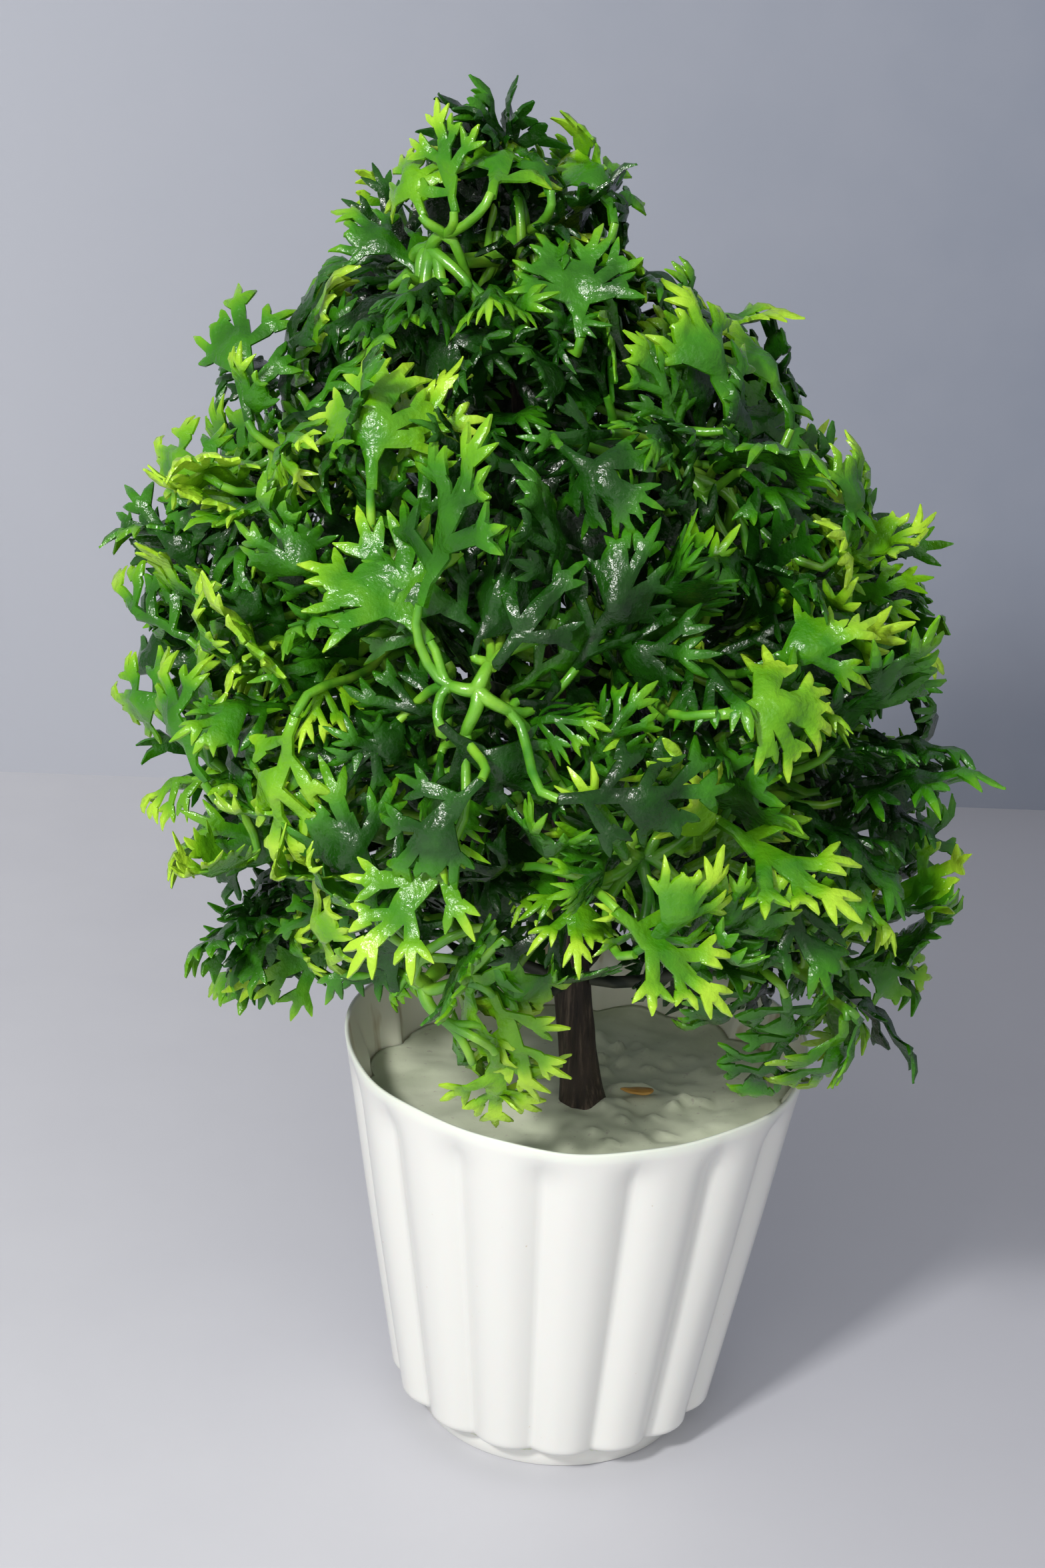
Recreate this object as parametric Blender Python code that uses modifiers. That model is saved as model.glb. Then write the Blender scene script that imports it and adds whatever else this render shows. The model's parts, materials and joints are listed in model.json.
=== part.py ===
"""Artificial tabletop tree.

A fluted plastic pot is filled with cast plaster.  A steel core wrapped in bark paper stands in the plaster.
Wrapped wire branches leave the trunk in four tiers, with a leader on top, and each one can be bent up and down
at its root.  Moulded leaf sprays are pushed onto the branches.

Metres, +Z up, origin at the centre of the pot's underside, -Y is the front.
"""
import math

import bmesh
import bpy
from mathutils import Matrix, Vector

MM = 0.001
OBJECT_NAME = "tabletop_tree"

# Pot: ridge radii, heights and wall.
RIM_RADIUS = 55.0 * MM
POT_HEIGHT = 97.5 * MM
FLUTE_END_RADIUS = 39.4 * MM
FLUTE_END_HEIGHT = 7.8 * MM
BASE_RING_RADIUS = 32.4 * MM
POT_WALL = 1.1 * MM
POT_FLOOR = 1.6 * MM
FLUTES = 16
FLUTE_DEPTH = 1.7 * MM
FLUTE_FADE = 14.0 * MM          # height below the rim over which the flutes run out
FLUTE_LIP = 1.6 * MM            # height of the rounded lower end of a flute
FLUTE_PHASE = math.radians(-86.0)
STEPS_PER_FLUTE = 4

# Plaster.
CAST_GAP = 0.3 * MM
FILL_BELOW_RIM = 13.4 * MM      # how far the plaster's surface lies below the rim, on the pot's axis
PLASTER_TILT = (0.055, -0.045)  # rise per metre towards +X and +Y
PLASTER_LUMP = 0.8 * MM
MOUND_RISE = 2.2 * MM
MOUND_RADIUS = 14.0 * MM

# Trunk.
TRUNK_FOOT = (2.0 * MM, -9.0 * MM)
TRUNK_LEAN_LEFT = math.radians(8.0)
TRUNK_LEAN_BACK = math.radians(3.0)
CORE_RADIUS = 2.3 * MM
CORE_BURIED = 62.0 * MM
WRAP_FOOT_RADIUS = 6.0 * MM
WRAP_RADIUS = 4.7 * MM
WRAP_TOP_RADIUS = 3.5 * MM
WRAP_BURIED = 5.0 * MM
WRAP_FLARE = 13.0 * MM
TRUNK_LENGTH = 188.0 * MM       # from the plaster to the top of the wrap, along the trunk
FIT_GAP = 0.3 * MM

# Branch wires and sprays.
WIRE_RADIUS = 1.6 * MM
ROOT_GAP = 0.6 * MM
STEM_RADIUS = 1.3 * MM
SPRAY_THICKNESS = 1.2 * MM
HUB_RADIUS = 3.4 * MM
NECK_WIDTH = 2.6 * MM
SOCKET_LENGTH = 3.0 * MM
SPRAY_CUP = 0.34                # forward rise of an arm for each metre outwards
SPRAY_RECURVE = 6.0             # how fast the arm's tip turns back, per metre

# Tiers of the crown.  Root and hub heights are shares of the trunk's length above the plaster; reach is from the
# trunk's axis to a hub, and face is the upward tilt of a spray in degrees.
TIERS = (
    dict(name="skirt", count=4, first=245.0, root=0.16, hub=0.19, reach=82.0 * MM, face=-12.0, size=25.0 * MM,
         side_turn=27.0, side_reach=71.0 * MM, side_lift=5.0 * MM, side_size=20.0 * MM),
    dict(name="lower", count=4, first=290.0, root=0.34, hub=0.425, reach=87.0 * MM, face=0.0, size=25.0 * MM,
         side_turn=27.0, side_reach=75.0 * MM, side_lift=5.0 * MM, side_size=20.0 * MM),
    dict(name="middle", count=3, first=266.0, root=0.54, hub=0.66, reach=86.0 * MM, face=10.0, size=26.0 * MM,
         side_turn=38.0, side_reach=74.0 * MM, side_lift=4.0 * MM, side_size=23.0 * MM),
    dict(name="upper", count=3, first=206.0, root=0.745, hub=0.90, reach=62.0 * MM, face=28.0, size=27.0 * MM,
         side_turn=None),
)
TIP_ARMS = (30.0, 150.0, 212.0, 328.0)      # directions of a whorl's arms, in degrees
SIDE_ARMS = (32.0, 148.0, 212.0, 328.0)
TOP_ARMS = (20.0, 92.0, 164.0, 236.0, 308.0)
CROWN_SHIFT = (-6.0 * MM, 3.0 * MM)     # the branches reach further to the left than to the right
FRONT_LIFT = dict(skirt=12.0 * MM, lower=6.0 * MM, middle=2.0 * MM, upper=0.0)    # the crown's front edge is raised
LEADER_LENGTH = 36.0 * MM
LEADER_SPRAY = 24.0 * MM
LEADER_SIDE = dict(azimuths=(35.0, 215.0), reach=32.0 * MM, above_trunk=21.0 * MM, face=48.0, size=19.0 * MM)

# A chip of bark lying on the plaster.
CHIP_SIZE = (7.0 * MM, 3.2 * MM, 1.0 * MM)
CHIP_PLACE = (15.0 * MM, -7.0 * MM)


def clear_scene():
    for old in list(bpy.data.objects):
        bpy.data.objects.remove(old, do_unlink=True)


def new_collection(name):
    collection = bpy.data.collections.new(name)
    bpy.context.scene.collection.children.link(collection)
    return collection


def make_material(name, colour, roughness, metallic=0.0):
    material = bpy.data.materials.new(name)
    material.use_nodes = True
    shader = material.node_tree.nodes["Principled BSDF"]
    shader.inputs["Base Color"].default_value = (*colour, 1.0)
    shader.inputs["Roughness"].default_value = roughness
    shader.inputs["Metallic"].default_value = metallic
    material.diffuse_color = (*colour, 1.0)
    return material


def add_object(name, data, collection, material=None):
    piece = bpy.data.objects.new(name, data)
    collection.objects.link(piece)
    if material:
        data.materials.append(material)
    return piece


def shade(mesh, angle=30.0):
    mesh.shade_smooth()
    mesh.set_sharp_from_angle(angle=math.radians(angle))


def evaluated_mesh(piece):
    """A plain mesh of the piece as its modifiers leave it."""
    bpy.context.view_layer.update()
    graph = bpy.context.evaluated_depsgraph_get()
    return bpy.data.meshes.new_from_object(piece.evaluated_get(graph))


def weld(mesh, distance=0.01 * MM):
    """Join the loose ends that a curve's caps or a cut leave, and point every face outwards."""
    work = bmesh.new()
    work.from_mesh(mesh)
    bmesh.ops.remove_doubles(work, verts=work.verts, dist=distance)
    bmesh.ops.recalc_face_normals(work, faces=work.faces)
    work.to_mesh(mesh)
    work.free()


def turned_mesh(profile, steps, closed, collection):
    """Turn a profile of (radius, height) about Z; an open profile starts and ends on the axis."""
    mesh = bpy.data.meshes.new("profile")
    points = [(radius, 0.0, height) for radius, height in profile]
    edges = [(i, i + 1) for i in range(len(points) - 1)]
    if closed:
        edges.append((len(points) - 1, 0))
    mesh.from_pydata(points, edges, [])
    lathe = add_object("profile", mesh, collection)
    screw = lathe.modifiers.new("turn", "SCREW")
    screw.axis = "Z"
    screw.steps = steps
    screw.render_steps = steps
    screw.use_merge_vertices = True
    screw.merge_threshold = 0.01 * MM
    turned = evaluated_mesh(lathe)
    bpy.data.objects.remove(lathe, do_unlink=True)
    weld(turned)
    return turned


def tube_mesh(points, radius, collection, sides=6):
    """A round tube with closed ends along a list of points."""
    curve = bpy.data.curves.new("tube", "CURVE")
    curve.dimensions = "3D"
    curve.bevel_depth = radius
    curve.bevel_resolution = (sides - 4) // 2
    curve.use_fill_caps = True
    spline = curve.splines.new("POLY")
    spline.points.add(len(points) - 1)
    for control, point in zip(spline.points, points):
        control.co = (*point, 1.0)
    route = add_object("tube", curve, collection)
    mesh = evaluated_mesh(route)
    bpy.data.objects.remove(route, do_unlink=True)
    weld(mesh)
    return mesh


def apply_boolean(piece, cutter, operation):
    """Cut or join now, so that the cutter does not have to stay in the file."""
    change = piece.modifiers.new(operation.lower(), "BOOLEAN")
    change.operation = operation
    change.object = cutter
    mesh = evaluated_mesh(piece)
    piece.modifiers.remove(change)
    piece.data = mesh


def bend(start, start_direction, end, end_direction, count):
    """Points along a smooth bend that leaves start and arrives at end in the given directions."""
    pull = (end - start).length / 3.0
    near = start + start_direction * pull
    far = end - end_direction * pull
    points = []
    for i in range(count):
        t = i / (count - 1)
        s = 1.0 - t
        points.append(start * s ** 3 + near * (3 * s * s * t) + far * (3 * s * t * t) + end * t ** 3)
    return points


# ---------------------------------------------------------------- pot and plaster

def flute_wave(angle):
    """1 on a flute's ridge, 0 in the valley between two flutes."""
    return abs(math.cos(0.5 * FLUTES * (angle - FLUTE_PHASE)))


def flute_strength(height):
    """Flutes stand at full depth along the wall and run out under the rim; the base ring is plain."""
    if height < FLUTE_END_HEIGHT - FLUTE_LIP:
        return 0.0
    start = POT_HEIGHT - FLUTE_FADE
    if height <= start:
        return 1.0
    run = min((height - start) / (0.8 * FLUTE_FADE), 1.0)
    return 0.5 + 0.5 * math.cos(math.pi * run)


def ridge_radius(height):
    """Outer radius of the pot over a ridge."""
    share = (height - FLUTE_END_HEIGHT) / (POT_HEIGHT - FLUTE_END_HEIGHT)
    return FLUTE_END_RADIUS + (RIM_RADIUS - FLUTE_END_RADIUS) * share


def press_flutes(mesh, step_radius):
    """Push the wall in between the ridges, wherever it lies outside step_radius."""
    for vertex in mesh.vertices:
        radius = math.hypot(vertex.co.x, vertex.co.y)
        if radius < step_radius:
            continue
        angle = math.atan2(vertex.co.y, vertex.co.x)
        press = FLUTE_DEPTH * (1.0 - flute_wave(angle)) * flute_strength(vertex.co.z)
        scale = (radius - press) / radius
        vertex.co.x *= scale
        vertex.co.y *= scale


def wall_heights():
    low = FLUTE_END_HEIGHT + FLUTE_LIP
    fade = POT_HEIGHT - FLUTE_FADE
    middle = 0.5 * (low + fade)
    return low, middle, fade, POT_HEIGHT - 0.5 * FLUTE_FADE


def make_pot(collection, material):
    inner_step = FLUTE_END_HEIGHT + POT_WALL
    outer = [(RIM_RADIUS, POT_HEIGHT)]
    outer += [(ridge_radius(h), h) for h in reversed(wall_heights())]
    outer += [(FLUTE_END_RADIUS, FLUTE_END_HEIGHT)]
    outer += [(FLUTE_END_RADIUS - 1.0 * MM, FLUTE_END_HEIGHT - 0.9 * MM)]
    outer += [(BASE_RING_RADIUS, FLUTE_END_HEIGHT - FLUTE_LIP), (BASE_RING_RADIUS, 0.0), (0.0, 0.0)]
    inner = [(0.0, POT_FLOOR), (BASE_RING_RADIUS - POT_WALL, POT_FLOOR)]
    inner += [(BASE_RING_RADIUS - POT_WALL, FLUTE_END_HEIGHT - FLUTE_LIP + POT_WALL)]
    inner += [(FLUTE_END_RADIUS - POT_WALL - 0.6 * MM, inner_step)]
    inner += [(ridge_radius(h) - POT_WALL, h) for h in wall_heights()]
    inner += [(RIM_RADIUS - POT_WALL, POT_HEIGHT)]
    mesh = turned_mesh(inner + outer, FLUTES * STEPS_PER_FLUTE, False, collection)
    align_steps(mesh)
    press_flutes(mesh, BASE_RING_RADIUS + 0.5 * MM)
    shade(mesh)
    return add_object("pot", mesh, collection, material)


def align_steps(mesh):
    """Turn the lathe's steps so that one of them lies on a ridge."""
    mesh.transform(Matrix.Rotation(FLUTE_PHASE, 4, "Z"))


def plaster_surface(x, y):
    """Height of the plaster's rough top."""
    base = POT_HEIGHT - FILL_BELOW_RIM + PLASTER_TILT[0] * x + PLASTER_TILT[1] * y
    lumps = math.sin(x * 190.0 + 1.0) * math.sin(y * 230.0) + 0.5 * math.sin(x * 410.0 - y * 350.0)
    away = math.hypot(x - TRUNK_FOOT[0], y - TRUNK_FOOT[1]) / MOUND_RADIUS
    mound = MOUND_RISE * math.exp(-away * away)
    return base + PLASTER_LUMP * lumps * min(away, 1.0) + mound


def make_plaster(collection, material):
    """Cast against the pot's inner wall, with a bore for the wrapped trunk."""
    inset = POT_WALL + CAST_GAP
    low = FLUTE_END_HEIGHT + FLUTE_LIP
    top = POT_HEIGHT - FILL_BELOW_RIM
    edge = ridge_radius(top) - inset
    step = FLUTE_END_HEIGHT + POT_WALL + CAST_GAP
    rings = (0.16, 0.32, 0.5, 0.68, 0.84)
    profile = [(0.0, top)] + [(edge * share, top) for share in rings] + [(edge, top)]
    profile += [(ridge_radius(0.5 * (low + top)) - inset, 0.5 * (low + top))]
    profile += [(ridge_radius(low) - inset, low)]
    profile += [(FLUTE_END_RADIUS - inset - 0.9 * MM, step)]
    profile += [(BASE_RING_RADIUS - inset, FLUTE_END_HEIGHT - FLUTE_LIP + POT_WALL + CAST_GAP)]
    profile += [(BASE_RING_RADIUS - inset, POT_FLOOR + CAST_GAP), (0.0, POT_FLOOR + CAST_GAP)]
    mesh = turned_mesh(profile, FLUTES * STEPS_PER_FLUTE, False, collection)
    align_steps(mesh)
    press_flutes(mesh, BASE_RING_RADIUS + 0.5 * MM)
    for vertex in mesh.vertices:
        if vertex.co.z > top - 0.01 * MM:
            rise = plaster_surface(vertex.co.x, vertex.co.y) - top
            radius = math.hypot(vertex.co.x, vertex.co.y)
            if radius > 0.9 * edge:
                slope = (ridge_radius(top + rise) - ridge_radius(top)) / radius
                vertex.co.x *= 1.0 + slope
                vertex.co.y *= 1.0 + slope
            vertex.co.z += rise
    piece = add_object("plaster_fill", mesh, collection, material)
    bore = rod_profile(CORE_RADIUS + FIT_GAP, FILL_BELOW_RIM, -CORE_BURIED - FIT_GAP)
    seat = rod_profile(wrap_radius(0.0) + FIT_GAP, FILL_BELOW_RIM, -WRAP_BURIED - FIT_GAP)
    for cutter in (trunk_turned(bore, "core_bore", collection), trunk_turned(seat, "wrap_seat", collection)):
        apply_boolean(piece, cutter, "DIFFERENCE")
        bpy.data.objects.remove(cutter, do_unlink=True)
    weld(piece.data)
    shade(piece.data, 40.0)
    return piece


# ---------------------------------------------------------------- trunk

def trunk_frame():
    """Matrix whose Z runs up the leaning trunk, with its origin where the trunk leaves the plaster."""
    foot = Vector((*TRUNK_FOOT, plaster_surface(*TRUNK_FOOT)))
    up = Vector((-math.tan(TRUNK_LEAN_LEFT), math.tan(TRUNK_LEAN_BACK), 1.0)).normalized()
    turn = Vector((0.0, 0.0, 1.0)).rotation_difference(up)
    return Matrix.Translation(foot) @ turn.to_matrix().to_4x4()


def trunk_point(along):
    return trunk_frame() @ Vector((0.0, 0.0, along))


def wrap_radius(along):
    """Outer radius of the bark wrap: flared at its foot, then a slow taper."""
    taper = WRAP_RADIUS + (WRAP_TOP_RADIUS - WRAP_RADIUS) * min(max(along / TRUNK_LENGTH, 0.0), 1.0)
    flare = max(1.0 - max(along, 0.0) / WRAP_FLARE, 0.0) ** 2
    return taper + (WRAP_FOOT_RADIUS - WRAP_RADIUS) * flare


def trunk_turned(profile, name, collection, material=None, steps=16, hollow=False):
    """A round piece about the trunk's axis: a rod, or a sleeve whose profile closes on itself."""
    mesh = turned_mesh(profile, steps, hollow, collection)
    piece = add_object(name, mesh, collection, material)
    piece.matrix_world = trunk_frame()
    bpy.context.view_layer.update()
    shade(mesh)
    return piece


def rod_profile(radius, top, bottom):
    return [(0.0, top), (radius, top), (radius, bottom), (0.0, bottom)]


def make_trunk(collection, steel, bark):
    trunk_turned(rod_profile(CORE_RADIUS, TRUNK_LENGTH - FIT_GAP, -CORE_BURIED), "trunk_core", collection, steel, 10)
    levels = [TRUNK_LENGTH, 0.5 * TRUNK_LENGTH, WRAP_FLARE, 0.6 * WRAP_FLARE, 0.25 * WRAP_FLARE, 0.0]
    profile = [(wrap_radius(level), level) for level in levels]
    profile.append((wrap_radius(0.0), -WRAP_BURIED))
    profile.append((CORE_RADIUS + FIT_GAP, -WRAP_BURIED))
    profile.append((CORE_RADIUS + FIT_GAP, TRUNK_LENGTH))
    trunk_turned(profile, "trunk_wrap", collection, bark, 12, hollow=True)


# ---------------------------------------------------------------- sprays

def leaf_half(size):
    """One side of a spray's arm, from the neck to the tip: (outwards, sideways) in metres."""
    lobes = ((0.48, 0.21), (0.64, 0.16), (0.78, 0.25), (0.86, 0.12))
    neck = (0.40 * size, 0.5 * NECK_WIDTH)
    return (neck,) + tuple((outwards * size, sideways * size) for outwards, sideways in lobes)


def spray_outline(size, arms):
    """Flat outline of a whorl of lobed leaves round a hub; arms are angles in degrees from the spray's X."""
    points = []
    for position, angle in enumerate(arms):
        turn = Matrix.Rotation(math.radians(angle), 2)
        half = leaf_half(size)
        side = [(outwards, -sideways) for outwards, sideways in half]
        side += [(size, 0.0)]
        side += [(outwards, sideways) for outwards, sideways in reversed(half)]
        points += [turn @ Vector(point) for point in side]
        following = arms[(position + 1) % len(arms)]
        gap = (following - angle) % 360.0
        between = math.radians(angle + 0.5 * gap)
        points.append(Vector((math.cos(between), math.sin(between))) * HUB_RADIUS)
    return points


def spray_plate(size, arms, collection):
    """The outline filled and given its thickness, then cupped forwards along +Z."""
    curve = bpy.data.curves.new("spray_outline", "CURVE")
    curve.dimensions = "2D"
    curve.fill_mode = "BOTH"
    curve.extrude = 0.5 * SPRAY_THICKNESS
    outline = spray_outline(size, arms)
    spline = curve.splines.new("POLY")
    spline.points.add(len(outline) - 1)
    for control, point in zip(spline.points, outline):
        control.co = (point.x, point.y, 0.0, 1.0)
    spline.use_cyclic_u = True
    flat = add_object("spray_outline", curve, collection)
    mesh = evaluated_mesh(flat)
    bpy.data.objects.remove(flat, do_unlink=True)
    weld(mesh)
    for vertex in mesh.vertices:
        outwards = math.hypot(vertex.co.x, vertex.co.y)
        reach = max(outwards - HUB_RADIUS, 0.0)
        vertex.co.z += SPRAY_CUP * reach - SPRAY_RECURVE * reach * reach
    return mesh


def facing_frame(hub, forward):
    """Matrix at a hub: Z points forward, X lies level."""
    level = Vector((0.0, 0.0, 1.0)).cross(forward)
    if level.length < 0.1:
        level = Vector((1.0, 0.0, 0.0))
    level.normalize()
    up = forward.cross(level)
    frame = Matrix((level, up, forward)).transposed().to_4x4()
    frame.translation = hub
    return frame


def make_spray(name, hub, forward, size, arms, stem, collection, material, parent):
    """A whorl of leaves on a stem; the stem's points are in the world's frame."""
    plate = spray_plate(size, arms, collection)
    plate.transform(facing_frame(hub, forward))
    piece = add_object(name, plate, collection, material)
    stalk = add_object("stalk", tube_mesh(stem, STEM_RADIUS, collection), collection)
    apply_boolean(piece, stalk, "UNION")
    bpy.data.objects.remove(stalk, do_unlink=True)
    weld(piece.data)
    shade(piece.data, 20.0)
    hang(piece, parent)
    return piece


# ---------------------------------------------------------------- branches

def hang(piece, parent):
    """Put a piece, modelled in the world's frame, under its branch's root."""
    piece.data.transform(parent.matrix_world.inverted())
    piece.parent = parent


def branch_root(name, place, azimuth, collection):
    """Empty at a branch's root: its Y axis is the hinge, level and square to the branch."""
    root = bpy.data.objects.new(name, None)
    root.empty_display_size = 5.0 * MM
    root.matrix_world = Matrix.Translation(place) @ Matrix.Rotation(azimuth, 4, "Z")
    collection.objects.link(root)
    bpy.context.view_layer.update()
    return root


def heading(azimuth, pitch):
    return Vector((math.cos(azimuth) * math.cos(pitch), math.sin(azimuth) * math.cos(pitch), math.sin(pitch)))


def square_to_trunk(azimuth):
    """The direction of an azimuth, leaned so that it is square to the trunk."""
    up = trunk_point(1.0) - trunk_point(0.0)
    level = heading(azimuth, 0.0)
    return (level - up * level.dot(up)).normalized()


def front_lift(tier, azimuth):
    """How far a spray is raised because it stands at the front."""
    return FRONT_LIFT[tier["name"]] * max(-math.sin(azimuth), 0.0)


def make_branch(tier, number, collection, materials):
    azimuth = math.radians(tier["first"] + 360.0 / tier["count"] * number)
    label = "{}_{}".format(tier["name"], number + 1)
    pitch = math.radians(tier["face"])
    foot = tier["root"] * TRUNK_LENGTH
    middle = trunk_point(tier["hub"] * TRUNK_LENGTH) + Vector((*CROWN_SHIFT, 0.0))
    outwards = square_to_trunk(azimuth)
    start = trunk_point(foot) + outwards * (wrap_radius(foot) + ROOT_GAP)
    forward = heading(azimuth, pitch)
    hub = middle + heading(azimuth, 0.0) * tier["reach"]
    hub.z += front_lift(tier, azimuth)
    route = bend(start, outwards, hub - forward * (SOCKET_LENGTH + FIT_GAP), forward, 7)
    root = branch_root(label + "_root", start, azimuth, collection)
    wire = add_object("{}_branch_{}".format(tier["name"], number + 1), tube_mesh(route, WIRE_RADIUS, collection),
                      collection, materials["wire"])
    shade(wire.data, 50.0)
    hang(wire, root)
    socket = [hub - forward * SOCKET_LENGTH, hub]
    make_spray(label + "_tip_spray", hub, forward, tier["size"], TIP_ARMS, socket, collection, materials["leaf"],
               root)
    if tier["side_turn"] is None:
        return
    for word, sign in (("right", -1.0), ("left", 1.0)):
        turned = azimuth + sign * math.radians(tier["side_turn"])
        facing = heading(turned, pitch)
        side_hub = middle + heading(turned, 0.0) * tier["side_reach"]
        side_hub.z += tier["side_lift"] + front_lift(tier, turned)
        across = heading(azimuth + sign * 0.5 * math.pi, 0.0)
        clip = route[3] + across * (WIRE_RADIUS + STEM_RADIUS + FIT_GAP)
        along = (route[4] - route[3]).normalized()
        stem = bend(clip, (along + across * 0.35).normalized(), side_hub, facing, 5)
        make_spray("{}_{}_spray".format(label, word), side_hub, facing, tier["side_size"], SIDE_ARMS, stem,
                   collection, materials["leaf"], root)


def make_leader(collection, materials):
    """The wire on top of the trunk, with one spray facing up and two at its sides."""
    up = (trunk_point(1.0) - trunk_point(0.0)).normalized()
    start = trunk_point(TRUNK_LENGTH + ROOT_GAP)
    hub = start + up * LEADER_LENGTH
    root = branch_root("leader_root", start, 0.0, collection)
    route = bend(start, up, hub - up * (SOCKET_LENGTH + FIT_GAP), up, 4)
    wire = add_object("leader_wire", tube_mesh(route, WIRE_RADIUS, collection), collection, materials["wire"])
    shade(wire.data, 50.0)
    hang(wire, root)
    make_spray("leader_tip_spray", hub, up, LEADER_SPRAY, TOP_ARMS, [hub - up * SOCKET_LENGTH, hub], collection,
               materials["leaf"], root)
    for word, degrees in zip(("right", "left"), LEADER_SIDE["azimuths"]):
        azimuth = math.radians(degrees)
        facing = heading(azimuth, math.radians(LEADER_SIDE["face"]))
        side_hub = trunk_point(TRUNK_LENGTH + LEADER_SIDE["above_trunk"])
        side_hub += heading(azimuth, 0.0) * LEADER_SIDE["reach"]
        clip = route[1] + heading(azimuth, 0.0) * (WIRE_RADIUS + STEM_RADIUS + FIT_GAP)
        stem = bend(clip, heading(azimuth, math.radians(60.0)), side_hub, facing, 5)
        make_spray("leader_{}_spray".format(word), side_hub, facing, LEADER_SIDE["size"], SIDE_ARMS, stem,
                   collection, materials["leaf"], root)


def make_chip(collection, material):
    """A flake of bark lying on the plaster, with its edges rounded."""
    bpy.ops.mesh.primitive_cube_add(size=1.0)
    chip = bpy.context.object
    for owner in list(chip.users_collection):
        owner.objects.unlink(chip)
    collection.objects.link(chip)
    chip.name = "bark_chip"
    chip.data.transform(Matrix.Diagonal((*CHIP_SIZE, 1.0)))
    steps = (-0.5, 0.0, 0.5)
    under = [plaster_surface(CHIP_PLACE[0] + i * CHIP_SIZE[0], CHIP_PLACE[1] + j * CHIP_SIZE[1])
             for i in steps for j in steps]
    lift = max(under) + 0.5 * CHIP_SIZE[2] + 2.0 * CAST_GAP
    chip.data.transform(Matrix.Translation((*CHIP_PLACE, lift)))
    edge = chip.modifiers.new("rounded", "BEVEL")
    edge.width = 0.3 * MM
    edge.segments = 1
    chip.data.materials.append(material)
    return chip


def main():
    clear_scene()
    collection = new_collection(OBJECT_NAME)
    materials = {
        "pot": make_material("white_plastic", (0.80, 0.79, 0.75), 0.25),
        "plaster": make_material("grey_plaster", (0.42, 0.42, 0.38), 0.85),
        "steel": make_material("core_steel", (0.45, 0.45, 0.44), 0.4, 1.0),
        "bark": make_material("bark_paper", (0.045, 0.032, 0.025), 0.8),
        "wire": make_material("wrapped_wire", (0.05, 0.04, 0.03), 0.7),
        "leaf": make_material("leaf_plastic", (0.05, 0.28, 0.06), 0.35),
        "chip": make_material("orange_bark", (0.42, 0.16, 0.05), 0.7),
    }
    make_pot(collection, materials["pot"])
    make_plaster(collection, materials["plaster"])
    make_trunk(collection, materials["steel"], materials["bark"])
    for tier in TIERS:
        for number in range(tier["count"]):
            make_branch(tier, number, collection, materials)
    make_leader(collection, materials)
    make_chip(collection, materials["chip"])


main()
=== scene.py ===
# %% [markdown]
# # An artificial tabletop tree
# The tree is a fluted white plastic pot filled with cast plaster, a trunk wrapped in bark paper, wrapped wire
# branches, and 39 moulded leaf sprays pushed onto them.  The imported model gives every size, place and moving body.
# This lesson makes the fine surface of each piece: the leaves are the main job, so they take most of the cells.

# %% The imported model
import json
import math
import random

import bmesh
import bpy
from mathutils import Matrix, Vector, geometry, noise
from mathutils.bvhtree import BVHTree

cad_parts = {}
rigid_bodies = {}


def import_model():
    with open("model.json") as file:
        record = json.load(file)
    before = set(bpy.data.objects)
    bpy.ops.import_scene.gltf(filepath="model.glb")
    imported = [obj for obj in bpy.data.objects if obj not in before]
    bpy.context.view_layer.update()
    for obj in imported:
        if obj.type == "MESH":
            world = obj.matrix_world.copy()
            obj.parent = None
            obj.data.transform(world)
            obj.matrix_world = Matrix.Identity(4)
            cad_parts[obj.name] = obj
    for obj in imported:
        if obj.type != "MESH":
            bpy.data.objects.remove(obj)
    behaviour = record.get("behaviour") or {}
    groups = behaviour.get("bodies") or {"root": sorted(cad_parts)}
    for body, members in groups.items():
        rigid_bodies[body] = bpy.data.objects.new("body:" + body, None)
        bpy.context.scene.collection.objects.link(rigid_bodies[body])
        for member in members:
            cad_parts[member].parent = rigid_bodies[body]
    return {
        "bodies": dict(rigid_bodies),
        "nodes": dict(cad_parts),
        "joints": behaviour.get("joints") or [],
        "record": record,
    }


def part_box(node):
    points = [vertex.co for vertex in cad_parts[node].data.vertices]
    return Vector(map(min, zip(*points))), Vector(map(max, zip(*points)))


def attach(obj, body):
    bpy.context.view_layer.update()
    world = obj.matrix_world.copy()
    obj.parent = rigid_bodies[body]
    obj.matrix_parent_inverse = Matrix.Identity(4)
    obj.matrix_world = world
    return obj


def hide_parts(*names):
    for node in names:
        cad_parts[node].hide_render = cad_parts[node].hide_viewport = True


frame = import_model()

MM = 0.001                      # lengths are in metres; MM turns millimetres into them
UP = Vector((0.0, 0.0, 1.0))
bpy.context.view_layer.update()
NODES = frame["nodes"]
JOINTS = {joint["child"]: joint for joint in frame["joints"]}
BODY_OF = {node: body for body, members in frame["record"]["behaviour"]["bodies"].items() for node in members}
SPRAYS = sorted(node for node in NODES if node.endswith("_spray"))
print("sprays:", len(SPRAYS), "bodies:", len(set(BODY_OF.values())))

# %% [markdown]
# ## Camera
# A tabletop object is best seen through a mild long lens from a little above.  A camera can be turned by angles, or
# by a constraint that tracks a target.  Here its axes are worked out from its aim, its distance, its height angle and
# a few degrees of roll, as a camera in the hand has, so nothing has to be evaluated before its place is known.

# %% Camera
CAMERA_AIM = Vector((-16.3, 0.0, 160.5)) * MM
CAMERA_DISTANCE = 619.4 * MM
CAMERA_PITCH = 0.3663
CAMERA_ROLL = 0.0623
CAMERA_LENS = 62.49


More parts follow.
